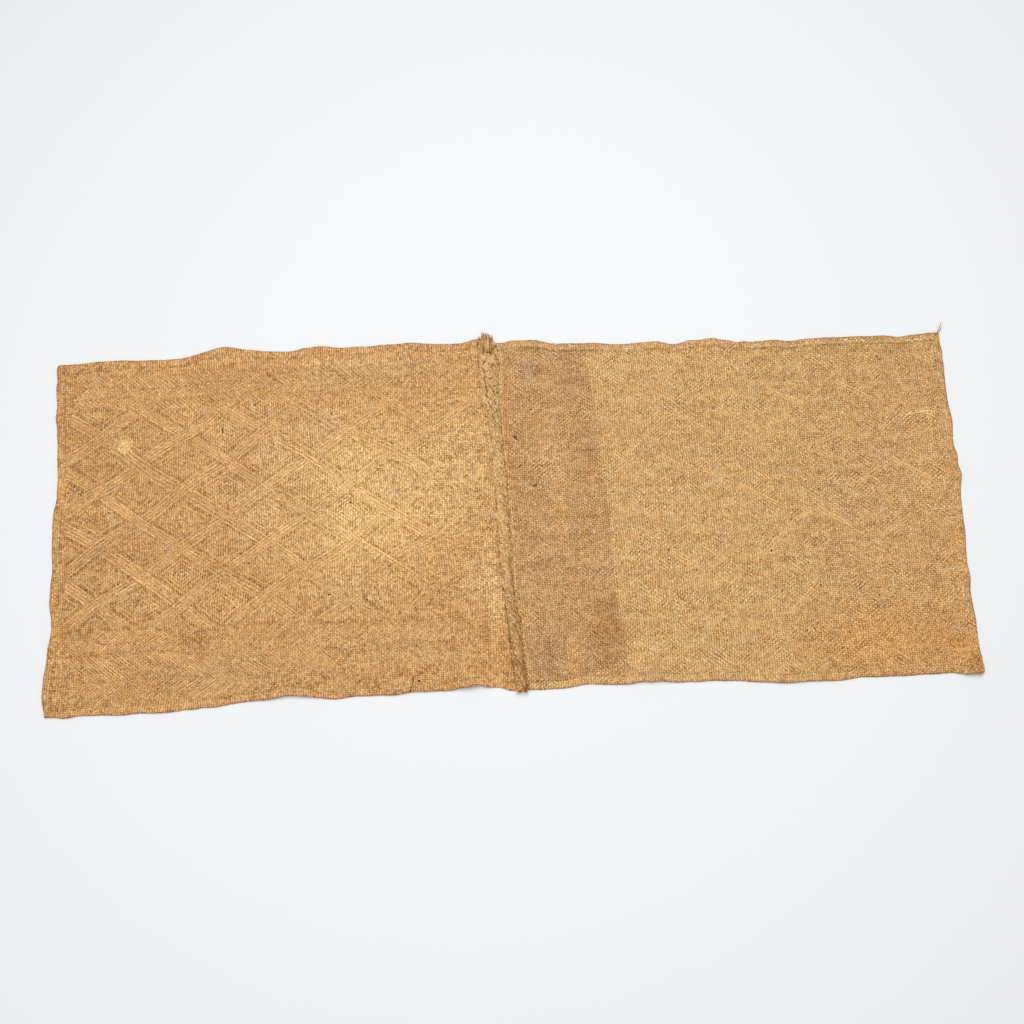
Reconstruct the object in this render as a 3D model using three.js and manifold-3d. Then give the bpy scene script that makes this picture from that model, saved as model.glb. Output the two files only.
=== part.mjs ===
// Woven raffia panel: two hemmed raffia cloths that lie flat side by side, joined by a raw, frayed
// seam that stands up between them. Sizes are millimetres. +X runs along the panel, +Y across it and
// +Z up from the surface that it lies on. The origin is under the middle of the panel.
import * as THREE from 'three';
import { mergeVertices } from 'three/addons/utils/BufferGeometryUtils.js';
import Module from 'manifold-3d';

const wasm = await Module();
wasm.setup();

// Cloth thickness: one layer of raffia weave, and the double layer of a turned hem.
const CLOTH = 1.3;
const HEM = 2.5;
const HEM_WIDTH = 9;
// The hem drops to one layer over this width.
const HEM_STEP = 1.5;
// The folded edge of a hem is rounded by this much, and a raw edge by as much.
const EDGE_ROUND = 0.6;
// Room between pieces that touch.
const GAP = 0.3;

// The lozenge weave of the left cloth: one lozenge is this wide and high, with a node of the lattice
// at this place. Its bands stand proud of the ground, less so towards the seam where they are worn.
const LOZENGE = { width: 105, height: 73, nodeX: -408, nodeY: 41.4, proud: 0.5 };
const WORN = { from: -330, to: -60, keep: 0.3 };

// Each cloth is drawn on a net of straight lines, this far apart. The lozenge net has this many lines
// to a lozenge, so that every band runs through its crossings.
const LOZENGE_STEPS = 6;
const LOZENGE_NET = {
  x: LOZENGE.nodeX,
  y: LOZENGE.nodeY,
  stepX: LOZENGE.width / LOZENGE_STEPS,
  stepY: LOZENGE.height / LOZENGE_STEPS,
};
const PLAIN_NET = { x: 0, y: 0, stepX: 19, stepY: 16 };
// The straight lines keep this far from the innermost place of a hemmed edge, and of the seam lines.
const NET_CLEAR = 16;
const SEAM_CLEAR = 4;

// Each edge of a cloth is a straight line with waves on it, one row for each wave: its place along
// the edge, its half length, how far it bulges out (or in, below 0), and how high it lifts.
const LEFT_TOP = {
  from: { along: -573, across: 216.5 },
  to: { along: -22, across: 225 },
  waves: [
    { at: -505, half: 60, out: 2.2, lift: 0.5 },
    { at: -361, half: 56, out: 11.5, lift: 5 },
    { at: -300, half: 50, out: 3, lift: 0 },
    { at: -238, half: 40, out: 5, lift: 3 },
    { at: -185, half: 60, out: 3, lift: 0 },
    { at: -120, half: 45, out: 3.5, lift: 1.5 },
    { at: -62, half: 35, out: -1.5, lift: 0 },
    { at: -28, half: 24, out: 4.5, lift: 0 },
  ],
};
const LEFT_BOTTOM = {
  from: { along: -572, across: -237.5 },
  to: { along: 5, across: -226 },
  waves: [
    { at: -540, half: 20, out: 1.2, lift: 0.5 },
    { at: -424, half: 34, out: 3, lift: 1 },
    { at: -275, half: 62, out: -7, lift: 4 },
    { at: -125, half: 80, out: -2.4, lift: 1.5 },
    { at: -52, half: 32, out: -6, lift: 8 },
    { at: 0, half: 24, out: 4, lift: 0 },
  ],
};
const LEFT_SIDE = {
  from: { along: -240, across: -570.5 },
  to: { along: 220, across: -570 },
  waves: [
    { at: -203, half: 34, out: 4.6, lift: 2 },
    { at: -135, half: 42, out: -5, lift: 1.5 },
    { at: -55, half: 40, out: -2, lift: 0 },
    { at: 65, half: 50, out: -4.6, lift: 2 },
    { at: 182, half: 34, out: 2.6, lift: 1 },
    { at: 209, half: 16, out: 3, lift: 1.5 },
  ],
};
const RIGHT_TOP = {
  from: { along: -8, across: 219.2 },
  to: { along: 570, across: 208.5 },
  waves: [
    { at: 20, half: 52, out: 6, lift: 0 },
    { at: 62, half: 26, out: 0, lift: 2 },
    { at: 160, half: 46, out: -3, lift: 0 },
    { at: 226, half: 24, out: -4.5, lift: 0 },
    { at: 264, half: 30, out: 3, lift: 3 },
    { at: 316, half: 36, out: -5, lift: 0 },
    { at: 374, half: 28, out: -4, lift: 0.5 },
    { at: 420, half: 40, out: 1, lift: 2 },
    { at: 519, half: 18, out: -2, lift: 0 },
    { at: 560, half: 28, out: 1.8, lift: 1.5 },
  ],
};
const RIGHT_BOTTOM = {
  from: { along: 5, across: -230 },
  to: { along: 571, across: -232 },
  waves: [
    { at: 88, half: 36, out: -4, lift: 1 },
    { at: 165, half: 48, out: -5, lift: 3 },
    { at: 240, half: 45, out: -2, lift: 0.5 },
    { at: 335, half: 70, out: 4.6, lift: 1.5 },
    { at: 445, half: 60, out: 1.5, lift: 0 },
    { at: 556, half: 30, out: 3.6, lift: 3 },
  ],
};
const RIGHT_SIDE = {
  from: { along: -236, across: 570.5 },
  to: { along: 212, across: 570.5 },
  waves: [
    { at: -224, half: 24, out: 0.5, lift: 2.5 },
    { at: -120, half: 75, out: -4.4, lift: 0.5 },
    { at: 18, half: 24, out: 4, lift: 3 },
    { at: 82, half: 34, out: 1.2, lift: 0 },
    { at: 158, half: 26, out: 1.4, lift: 1.5 },
  ],
};
// Net lines follow the seam at these distances in each cloth.
const SEAM_INSETS = [EDGE_ROUND, 10, 21];
// The hem's end is folded once more at the bottom right corner, over this reach.
const CORNER_FOLD = { reach: 24, thick: 1.1 };
// A lifted edge comes down to the surface over this distance from the edge.
const LIFT_REACH = 42;

// The seam from its top end to its bottom end: where its middle runs, how wide the raw edges spread
// and how high they stand. The lowest third is rolled up tight and lumpy.
const SEAM = [
  { y: 224, x: -18, wide: 20, high: 5.0, roll: 0 },
  { y: 208, x: -16, wide: 26, high: 4.2, roll: 0 },
  { y: 175, x: -16, wide: 24, high: 3.6, roll: 0 },
  { y: 142, x: -15.5, wide: 21, high: 3.6, roll: 0 },
  { y: 122, x: -11.5, wide: 13.5, high: 4.4, roll: 0 },
  { y: 77, x: -10, wide: 14, high: 4.0, roll: 0 },
  { y: 33, x: -7.5, wide: 15, high: 3.8, roll: 0 },
  { y: -35, x: -6, wide: 14.5, high: 4.0, roll: 0 },
  { y: -90, x: -5, wide: 13, high: 4.6, roll: 0.2 },
  { y: -122, x: -2, wide: 11, high: 5.6, roll: 0.8 },
  { y: -147, x: 1, wide: 15, high: 7.0, roll: 1 },
  { y: -190, x: 3.5, wide: 14.5, high: 7.4, roll: 1 },
  { y: -220, x: 6, wide: 14, high: 7.0, roll: 1 },
  { y: -231, x: 7.5, wide: 10, high: 5.6, roll: 1 },
];
const SEAM_STATIONS = 64;
const SEAM_ARC = 8;
// The seam comes down from the hems to the single layers over this length.
const SEAM_STEP = 4;
// The roll has a lump at every turn of its twist.
const TWIST_PITCH = 14;
const TWIST_DEPTH = 0.16;
// Above the roll the frayed edge is uneven: waves of these lengths, each this share of the height.
const FRAY = { lengths: [61, 23], share: 0.1 };

// The frayed tuft at the top end of the seam: rows of strands, one above the other, that fan out over
// the edge. A row's strands leave the seam at its height, and climb by its slope.
const TUFT = { perRow: 6, root: 217, spread: 13, fan: 7, droop: 4, long: 21.5, shortest: 0.55, thick: 1.3 };
const TUFT_ROWS = [
  { height: 2.0, slope: 0.03, shift: 0.1 },
  { height: 2.8, slope: 0.1, shift: 0.5 },
  { height: 3.4, slope: 0.2, shift: 0.1 },
];

// The two loose thread ends that hang out of the hem at the top right corner.
const THREAD_KNOT = { x: 566.2, y: 207.4, radius: 1.5 };
const THREAD_ENDS = [
  { x: 574.4, y: 222.6, z: 7.5 },
  { x: 574.6, y: 215.8, z: 4.5 },
];
const THREAD_THICK = 0.9;
// A strand has this many steps and sides, and arches by this share of its length.
const STRAND = { steps: 4, sides: 3, arch: 0.12 };

const smooth = (t) => t * t * (3 - 2 * t);
const clamp01 = (t) => Math.min(1, Math.max(0, t));
const bump = (distance, half) => smooth(clamp01(1 - Math.abs(distance) / half));

// Where an edge runs at a place along it. side is +1 where out means a higher coordinate.
function edgeAt(edge, along, side) {
  const share = (along - edge.from.along) / (edge.to.along - edge.from.along);
  const line = THREE.MathUtils.lerp(edge.from.across, edge.to.across, share);
  return edge.waves.reduce((sum, wave) => sum + side * wave.out * bump(along - wave.at, wave.half), line);
}

// How high an edge lifts at a place along it, at this distance in from the edge.
function edgeLift(edge, along, inward) {
  const fall = smooth(clamp01(1 - inward / LIFT_REACH));
  return edge.waves.reduce((sum, wave) => sum + fall * wave.lift * bump(along - wave.at, wave.half), 0);
}

// One named column of the seam table at a height y, smoothly between its rows.
function seamValue(name, y) {
  const last = SEAM.length - 1;
  const upper = SEAM.findIndex((row, i) => i === last - 1 || y >= SEAM[i + 1].y);
  const a = SEAM[upper];
  const b = SEAM[upper + 1];
  return THREE.MathUtils.lerp(a[name], b[name], smooth(clamp01((a.y - y) / (a.y - b.y))));
}

// A line of the net that a cloth is drawn on has its nominal place, and its place at a crossing.
const straightLine = (place, index) => ({ nominal: place, at: () => place, index });
const nominalOf = (edge) => (edge.from.across + edge.to.across) / 2;
const edgeLine = (edge, side, inset) => ({
  nominal: nominalOf(edge) - side * inset,
  at: (place) => edgeAt(edge, place, side) - side * inset,
});
const seamLine = (side, inset) => ({
  nominal: seamValue('x', 0) + side * inset,
  at: (y) => seamValue('x', y) + side * (GAP / 2 + inset),
});

// The net lines of a hemmed edge, from the outside in: fold, inner line of the hem, single layer.
const hemLines = (edge, side) =>
  [EDGE_ROUND, HEM_WIDTH, HEM_WIDTH + HEM_STEP].map((inset) => edgeLine(edge, side, inset));

// Straight net lines through a start place, as many as fit between two limits.
function straightLines(start, step, from, to) {
  const lines = [];
  for (let i = Math.ceil((from - start) / step); start + i * step <= to; i += 1) {
    lines.push(straightLine(start + i * step, i));
  }
  return lines;
}

// The innermost place that an edge's waves reach.
function innermost(edge, side) {
  const depth = edge.waves.map((wave) => side * edgeAt(edge, wave.at, side));
  const ends = [edge.from, edge.to].map((end) => side * end.across);
  return side * Math.min(...depth, ...ends);
}

// The places on the rim of a net, counterclockwise, each with the way out of the cloth.
function rimPlaces(wide, high) {
  const places = [];
  for (let i = 0; i < wide - 1; i += 1) places.push({ i, j: 0, out: [0, -1] });
  for (let j = 0; j < high - 1; j += 1) places.push({ i: wide - 1, j, out: [1, 0] });
  for (let i = wide - 1; i > 0; i -= 1) places.push({ i, j: high - 1, out: [0, 1] });
  for (let j = high - 1; j > 0; j -= 1) places.push({ i: 0, j, out: [-1, 0] });
  return places;
}

// A closed sheet on a net of columns and rows. lift gives the underside's height, thick the
// thickness, and rises tells which way a cell's fold line runs. The rim is rounded.
function closedSheet(columns, rows, lift, thick, rises) {
  const wide = columns.length;
  const spots = rows.flatMap((row) => columns.map((column) => {
    const x = column.at(row.nominal);
    return { x, y: row.at(x), column, row };
  }));
  const points = spots.map((spot) => [spot.x, spot.y, lift(spot) + thick(spot)]);
  const under = points.length;
  spots.forEach((spot) => points.push([spot.x, spot.y, lift(spot)]));

  const triangles = [];
  for (let j = 0; j < rows.length - 1; j += 1) {
    for (let i = 0; i < wide - 1; i += 1) {
      const a = j * wide + i;
      const [b, c, d] = [a + 1, a + 1 + wide, a + wide];
      const halves = rises(columns[i], rows[j]) ? [[a, b, c], [a, c, d]] : [[a, b, d], [b, c, d]];
      halves.forEach(([p, q, r]) => {
        triangles.push([p, q, r]);
        triangles.push([under + p, under + r, under + q]);
      });
    }
  }

  const rim = points.length;
  const places = rimPlaces(wide, rows.length);
  places.forEach(({ i, j, out }, n) => {
    const before = places[(n + places.length - 1) % places.length].out;
    const spot = spots[j * wide + i];
    const away = new THREE.Vector2(out[0] + before[0], out[1] + before[1]).setLength(EDGE_ROUND);
    points.push([spot.x + away.x, spot.y + away.y, lift(spot) + thick(spot) / 2]);
  });
  places.forEach(({ i, j }, n) => {
    const next = (n + 1) % places.length;
    const [a, b] = [j * wide + i, places[next].j * wide + places[next].i];
    const [m, o] = [rim + n, rim + next];
    triangles.push([a, m, b], [b, m, o]);
    triangles.push([m, under + a, o], [o, under + a, under + b]);
  });
  return meshGeometry(points, triangles);
}

function meshGeometry(points, triangles) {
  const geometry = new THREE.BufferGeometry();
  geometry.setAttribute('position', new THREE.Float32BufferAttribute(points.flat(), 3));
  geometry.setIndex(triangles.flat());
  return geometry;
}

// A hemmed cloth. Its seam is on one side and its side hem on the other: side is +1 where the hem is
// on the right. raised adds to the thickness of the weave at a point of the net.
function hemmedCloth(cloth, side, net, raised, rises) {
  const distances = ({ x, y }) => ({
    top: edgeAt(cloth.top, x, 1) - y,
    bottom: y - edgeAt(cloth.bottom, x, -1),
    end: side * (edgeAt(cloth.end, y, side) - x),
  });
  const lift = (spot) => {
    const inward = distances(spot);
    return edgeLift(cloth.top, spot.x, inward.top) +
      edgeLift(cloth.bottom, spot.x, inward.bottom) +
      edgeLift(cloth.end, spot.y, inward.end);
  };
  const thick = (spot) => {
    const inward = distances(spot);
    const nearest = Math.min(inward.top, inward.bottom, inward.end);
    const hem = THREE.MathUtils.lerp(HEM, CLOTH, clamp01((nearest - HEM_WIDTH) / HEM_STEP));
    return hem + raised(spot, inward);
  };

  const endLimit = innermost(cloth.end, side) - side * NET_CLEAR;
  const seamReach = Math.max(...SEAM.map((row) => side * row.x)) + SEAM_INSETS.at(-1);
  const limits = [endLimit, side * (seamReach + SEAM_CLEAR)].sort((a, b) => a - b);
  const lowest = innermost(cloth.bottom, -1) + NET_CLEAR;
  const highest = innermost(cloth.top, 1) - NET_CLEAR;
  const columns = [
    ...SEAM_INSETS.map((inset) => seamLine(side, inset)),
    ...straightLines(net.x, net.stepX, ...limits),
    ...hemLines(cloth.end, side),
  ].sort((a, b) => a.nominal - b.nominal);
  const rows = [
    ...hemLines(cloth.bottom, -1),
    ...straightLines(net.y, net.stepY, lowest, highest),
    ...hemLines(cloth.top, 1).reverse(),
  ];
  return closedSheet(columns, rows, lift, thick, rises);
}

// Left cloth: the bands of the lozenge weave run through every sixth crossing of its net

const onBand = (count) => ((count % LOZENGE_STEPS) + LOZENGE_STEPS) % LOZENGE_STEPS === 0;
const wornAt = (x) => THREE.MathUtils.lerp(1, WORN.keep, clamp01((x - WORN.from) / (WORN.to - WORN.from)));

function bandHeight({ x, column, row }) {
  if (column.index === undefined || row.index === undefined) return 0;
  const raised = onBand(column.index + row.index) || onBand(column.index - row.index);
  return raised ? LOZENGE.proud * wornAt(x) : 0;
}

function leftCloth() {
  const cloth = { top: LEFT_TOP, bottom: LEFT_BOTTOM, end: LEFT_SIDE };
  const rises = (column, row) => !onBand(column.index + row.index + 1);
  return hemmedCloth(cloth, -1, LOZENGE_NET, bandHeight, rises);
}

// Right cloth: plain on this scale, with the folded end of its hem at one corner

function foldHeight(spot, inward) {
  const nearEnd = clamp01(1 - inward.end / CORNER_FOLD.reach);
  const nearBottom = inward.bottom <= HEM_WIDTH ? 1 : 0;
  return CORNER_FOLD.thick * nearBottom * Math.min(1, 2 * nearEnd);
}

function rightCloth() {
  const cloth = { top: RIGHT_TOP, bottom: RIGHT_BOTTOM, end: RIGHT_SIDE };
  return hemmedCloth(cloth, 1, PLAIN_NET, foldHeight, () => true);
}

// Seam: the two raw edges that stand up together, and their frayed tuft

// The seam lies on one layer of each cloth, and on their hems near both ends.
function seamBase(y) {
  const fromEnd = Math.min(SEAM[0].y - y, y - SEAM.at(-1).y);
  const offHem = (fromEnd - HEM_WIDTH - SEAM_STEP) / SEAM_STEP;
  return GAP + THREE.MathUtils.lerp(HEM, CLOTH, clamp01(offHem));
}

function seamRidge() {
  const top = SEAM[0].y;
  const bottom = SEAM[SEAM.length - 1].y;
  const points = [];
  const triangles = [];
  const ring = SEAM_ARC + 1;
  for (let n = 0; n <= SEAM_STATIONS; n += 1) {
    const y = THREE.MathUtils.lerp(top, bottom, n / SEAM_STATIONS);
    const roll = seamValue('roll', y);
    const twist = roll * TWIST_DEPTH * Math.cos((2 * Math.PI * y) / TWIST_PITCH);
    const waves = FRAY.lengths.map((length) => Math.sin((2 * Math.PI * y) / length));
    const fray = (1 - roll) * FRAY.share * waves.reduce((sum, wave) => sum + wave);
    const half = (seamValue('wide', y) / 2) * (1 + twist / 2);
    const high = seamValue('high', y) * (1 + twist + fray);
    for (let k = 0; k < ring; k += 1) {
      const angle = (Math.PI * k) / SEAM_ARC;
      const x = seamValue('x', y) + half * Math.cos(angle);
      points.push([x, y, seamBase(y) + high * Math.sin(angle)]);
    }
  }
  for (let n = 0; n < SEAM_STATIONS; n += 1) {
    for (let k = 0; k < ring; k += 1) {
      const next = (k + 1) % ring;
      const [a, b] = [n * ring + k, n * ring + next];
      const [c, d] = [a + ring, b + ring];
      triangles.push([a, b, c], [b, d, c]);
    }
  }
  const lastRing = SEAM_STATIONS * ring;
  for (let k = 1; k < SEAM_ARC; k += 1) {
    triangles.push([0, k + 1, k]);
    triangles.push([lastRing, lastRing + k, lastRing + k + 1]);
  }
  return meshGeometry(points, triangles);
}

// A three-sided strand that tapers to half its thickness and arches from a root to a tip.
function strand(root, tip, thick) {
  const middle = root.clone().lerp(tip, 0.5);
  middle.z += STRAND.arch * root.distanceTo(tip);
  const curve = new THREE.CatmullRomCurve3([root, middle, tip]);
  const { steps, sides } = STRAND;
  const points = [];
  for (let n = 0; n <= steps; n += 1) {
    const centre = curve.getPoint(n / steps);
    const ahead = curve.getTangent(n / steps);
    const level = new THREE.Vector3(0, 0, 1).cross(ahead).normalize();
    const up = ahead.clone().cross(level);
    const radius = (thick / 2) * (1 - n / steps / 2);
    for (let k = 0; k < sides; k += 1) {
      const angle = (2 * Math.PI * k) / sides;
      const corner = centre.clone().addScaledVector(level, radius * Math.cos(angle));
      points.push(corner.addScaledVector(up, radius * Math.sin(angle)).toArray());
    }
  }
  const end = steps * sides;
  const triangles = [[0, 2, 1], [end, end + 1, end + 2]];
  for (let n = 0; n < steps; n += 1) {
    for (let k = 0; k < sides; k += 1) {
      const [a, b] = [n * sides + k, n * sides + ((k + 1) % sides)];
      triangles.push([a, b, a + sides], [b, b + sides, a + sides]);
    }
  }
  return meshGeometry(points, triangles);
}

// The strands of the tuft, shorter at its sides and uneven.
function tuftStrands() {
  return TUFT_ROWS.flatMap((row, level) => Array.from({ length: TUFT.perRow }, (_, n) => {
    const share = (n + row.shift) / (TUFT.perRow - 0.4) - 0.5;
    const uneven = 0.5 + 0.5 * Math.sin(7 * n + 3 * level);
    const long = TUFT.long * THREE.MathUtils.lerp(TUFT.shortest, 1, uneven * (1 - Math.abs(share)));
    const height = seamBase(SEAM[0].y) + row.height - TUFT.droop * share * share;
    const root = new THREE.Vector3(SEAM[0].x + TUFT.spread * share, TUFT.root, height);
    const reach = new THREE.Vector3(TUFT.fan * share, long, long * row.slope);
    return strand(root, root.clone().add(reach), TUFT.thick);
  }));
}

// Joining closed shapes into one body

function toManifold(geometry) {
  const bare = mergeVertices(geometry, 1e-4);
  return new wasm.Manifold(new wasm.Mesh({
    numProp: 3,
    vertProperties: bare.attributes.position.array,
    triVerts: bare.index.array,
  }));
}

function joined(geometries) {
  const body = geometries.map(toManifold).reduce((sum, next) => sum.add(next));
  const result = body.getMesh();
  const geometry = new THREE.BufferGeometry();
  geometry.setAttribute('position', new THREE.BufferAttribute(result.vertProperties, 3));
  geometry.setIndex(new THREE.BufferAttribute(result.triVerts, 1));
  return geometry;
}

// The knot of the loose thread lies on the hem's corner, with both ends running out of it.
function cornerThreads() {
  const { x, y, radius } = THREAD_KNOT;
  const height = HEM + cornerLift(x, y) + GAP + radius;
  const knot = new THREE.SphereGeometry(radius, 8, 6);
  knot.deleteAttribute('normal');
  knot.deleteAttribute('uv');
  knot.translate(x, y, height);
  const root = new THREE.Vector3(x, y, height);
  const ends = THREAD_ENDS.map((end) => strand(root, new THREE.Vector3(end.x, end.y, end.z), THREAD_THICK));
  return joined([knot, ...ends]);
}

function cornerLift(x, y) {
  return edgeLift(RIGHT_TOP, x, edgeAt(RIGHT_TOP, x, 1) - y) +
    edgeLift(RIGHT_SIDE, y, edgeAt(RIGHT_SIDE, y, 1) - x);
}

// The panel

function piece(name, geometry, color, roughness) {
  const flat = geometry.index ? geometry.toNonIndexed() : geometry;
  flat.computeVertexNormals();
  const material = new THREE.MeshStandardMaterial({ color, roughness, metalness: 0 });
  const mesh = new THREE.Mesh(flat, material);
  mesh.name = name;
  return mesh;
}

const panel = new THREE.Group();
panel.add(
  piece('left_cloth', leftCloth(), '#cc9f69', 0.85),
  piece('right_cloth', rightCloth(), '#cba06d', 0.85),
  piece('seam_ridge', joined([seamRidge(), ...tuftStrands()]), '#cfa772', 0.9),
  piece('corner_threads', cornerThreads(), '#8a5f35', 0.9),
);

export default panel;
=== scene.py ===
"""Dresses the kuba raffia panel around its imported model.

The panel is two hemmed raffia cloths that lie side by side, joined by a raw, frayed seam. Tables are in
millimetres, as a maker would measure the cloth. Meshes are in metres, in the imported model's own frame.
"""
import logging
import math
from dataclasses import dataclass, field
from enum import Enum
from typing import Any

import bpy
import numpy as np
from mathutils import Matrix, Vector


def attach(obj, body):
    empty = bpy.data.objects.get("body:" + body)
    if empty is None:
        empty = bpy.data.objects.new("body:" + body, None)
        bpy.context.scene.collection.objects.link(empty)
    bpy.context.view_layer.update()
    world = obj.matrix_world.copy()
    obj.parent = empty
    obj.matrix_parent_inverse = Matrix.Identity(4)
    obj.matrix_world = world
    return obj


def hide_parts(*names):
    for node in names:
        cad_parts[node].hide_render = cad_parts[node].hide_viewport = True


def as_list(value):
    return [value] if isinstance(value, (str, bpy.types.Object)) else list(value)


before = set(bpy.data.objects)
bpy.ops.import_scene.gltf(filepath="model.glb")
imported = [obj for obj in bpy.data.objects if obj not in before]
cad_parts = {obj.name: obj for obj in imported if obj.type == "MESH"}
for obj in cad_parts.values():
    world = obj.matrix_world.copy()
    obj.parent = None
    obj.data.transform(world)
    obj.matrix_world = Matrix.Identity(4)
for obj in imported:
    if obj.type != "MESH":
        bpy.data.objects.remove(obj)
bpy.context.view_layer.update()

log = logging.getLogger("panel")
Array = np.ndarray
Node = bpy.types.Node
Socket = bpy.types.NodeSocket
Piece = bpy.types.Object
Place = tuple[float, float]
Span = tuple[float, float]
FleckRow = tuple[float, float, float, float, float, str]

MM = 0.001
BODY = "root"

# One layer of the weave, the doubled hem, and the room between the two cloths.
CLOTH_THICK = 1.3
HEM_THICK = 2.5
HEM_WIDTH = 9.0
HEM_STEP = 1.5
GAP = 0.3
# A lifted edge comes down to the floor over this distance.
LIFT_REACH = 42.0

# The lozenge lattice of the left cloth: one lozenge's size, and one node of the lattice.
LOZENGE_WIDE = 105.0
LOZENGE_HIGH = 73.0
LOZENGE_NODE = (-408.0, 41.4)
LATTICE_PITCH = LOZENGE_WIDE * LOZENGE_HIGH / math.hypot(LOZENGE_WIDE, LOZENGE_HIGH)
# The share by which the lattice shows stays below 1, so that rounding it down always gives 0.
ALL_SHOWN = 0.99

# Tones of old undyed raffia, and of the bits of husk that are caught in it.
BEIGE = "#cba069"
ORANGE = "#d9a05a"
GREYED = "#c6a57a"
# Painted shade for the cloths' rims.
RIM_SHADE_BROWN = "#946236"
DARK = "#4c3018"
PALE = "#efd39c"
HUSK = "#57391c"
SHELL = "#6a4421"
DRY_HUSK = "#6b4d30"
WORN_HUSK = "#7a5530"


def linear(hex_colour: str) -> Array:
    """Turns an sRGB hex colour, as in "#cb9b66", to linear shares of red, green and blue."""
    srgb = np.array([int(hex_colour[i : i + 2], 16) / 255 for i in (1, 3, 5)])
    return np.where(srgb <= 0.04045, srgb / 12.92, ((srgb + 0.055) / 1.055) ** 2.4)


def smooth(share: Array) -> Array:
    """Eases a share between 0 and 1 at both its ends."""
    return share * share * (3 - 2 * share)


def ease(value: Array, low: float, high: float) -> Array:
    """Rises smoothly from 0 at low to 1 at high."""
    return smooth(np.clip((value - low) / (high - low), 0, 1))


def bump(distance: Array, half: float) -> Array:
    """Falls smoothly from 1 at no distance to 0 at half."""
    return smooth(np.clip(1 - np.abs(distance) / half, 0, 1))


def distance_to_path(x: Array, y: Array, path: tuple[Place, ...]) -> Array:
    """Measures how far places lie from a line through a few points.

    Args:
        x: Places along the panel, in mm.
        y: Places across it.
        path: The points that the line runs through.

    Returns:
        The distance of each place, in mm.
    """
    nearest = np.full(np.shape(x), np.inf)
    for (x0, y0), (x1, y1) in zip(path, path[1:]):
        run = np.array([x1 - x0, y1 - y0])
        share = np.clip(((x - x0) * run[0] + (y - y0) * run[1]) / (run @ run), 0, 1)
        away = np.hypot(x - x0 - share * run[0], y - y0 - share * run[1])
        nearest = np.minimum(nearest, away)
    return nearest


@dataclass(frozen=True)
class Ripple:
    """A smooth uneven field over the cloth, made of a few plane waves."""

    seed: int
    shortest: float
    longest: float
    height: float
    count: int = 7

    def at(self, x: Array, y: Array) -> Array:
        """Gives the field's value at places on the cloth.

        Args:
            x: Places along the panel, in mm.
            y: Places across it.

        Returns:
            Values that mostly stay between -height and height.
        """
        draw = np.random.default_rng(self.seed)
        total = np.zeros(np.broadcast(x, y).shape)
        for _ in range(self.count):
            length, turn, phase = draw.uniform((self.shortest, 0, 0), (self.longest, math.pi, math.tau))
            along = x * math.cos(turn) + y * math.sin(turn)
            total += np.sin(math.tau * along / length + phase)
        return total * self.height / math.sqrt(self.count)


@dataclass(frozen=True)
class Edge:
    """One hemmed edge of a cloth: a straight line with waves and small scallops on it.

    Each wave has its place along the edge, its half length, how far it bulges out and, if it lifts, how high.
    """

    start: Place
    end: Place
    side: int
    waves: tuple[tuple[float, ...], ...]
    # Each scallop's length and depth.
    scallops: tuple[Place, ...] = ((11.0, 0.1), (7.3, 0.14), (37.0, 0.25))

    def place(self, along: Array) -> Array:
        """Gives where the edge runs.

        Args:
            along: Places along the edge, in mm.

        Returns:
            The edge's place across, at each of them.
        """
        share = (along - self.start[0]) / (self.end[0] - self.start[0])
        line = self.start[1] + share * (self.end[1] - self.start[1])
        bulge = sum(out * bump(along - at, half) for at, half, out, *_ in self.waves)
        for length, deep in self.scallops:
            bulge = bulge + deep * np.sin(math.tau * along / length + self.start[1])
        return line + self.side * bulge

    def lift(self, along: Array, inward: Array) -> Array:
        """Gives how high the cloth lifts near the edge, at places this far along it and inward from it."""
        fall = smooth(np.clip(1 - inward / LIFT_REACH, 0, 1))
        return fall * sum(lift[0] * bump(along - at, half) for at, half, _, *lift in self.waves if lift)


# The seam from its bottom end to its top end: y, its middle, its width and height, and how far it is
# rolled up tight.
SEAM_ROWS = np.array(
    [
        (-231, 7.5, 10, 5.6, 1), (-220, 6, 14, 7.0, 1), (-190, 3.5, 14.5, 7.4, 1), (-147, 1, 15, 7.0, 1),
        (-122, -2, 11, 5.6, 0.8), (-90, -5, 13, 4.6, 0.2), (-35, -6, 14.5, 4.0, 0), (33, -7.5, 15, 3.8, 0),
        (77, -10, 14, 4.0, 0), (122, -11.5, 13.5, 4.4, 0), (142, -15.5, 21, 3.6, 0), (175, -16, 24, 3.6, 0),
        (208, -16, 26, 4.2, 0), (224, -18, 20, 5.0, 0),
    ]
)
SEAM_LOW = SEAM_ROWS[0, 0]
SEAM_TOP = SEAM_ROWS[-1, 0]


class Seam(Enum):
    """The columns of the seam's table after its first."""

    MIDDLE = 1
    WIDE = 2
    HIGH = 3
    ROLL = 4

    def at(self, y: Array) -> Array:
        """Reads the column smoothly between its rows.

        Args:
            y: Places across the panel, in mm.

        Returns:
            The value at each place.
        """
        upper = np.clip(np.searchsorted(SEAM_ROWS[:, 0], y), 1, len(SEAM_ROWS) - 1)
        below, above = SEAM_ROWS[upper - 1], SEAM_ROWS[upper]
        share = smooth(np.clip((y - below[..., 0]) / (above[..., 0] - below[..., 0]), 0, 1))
        low, high = below[..., self.value], above[..., self.value]
        return low + share * (high - low)


def unit(vectors: Array) -> Array:
    """Scales each vector to a length of 1."""
    return vectors / np.maximum(np.linalg.norm(vectors, axis=-1, keepdims=True), 1e-9)


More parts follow.
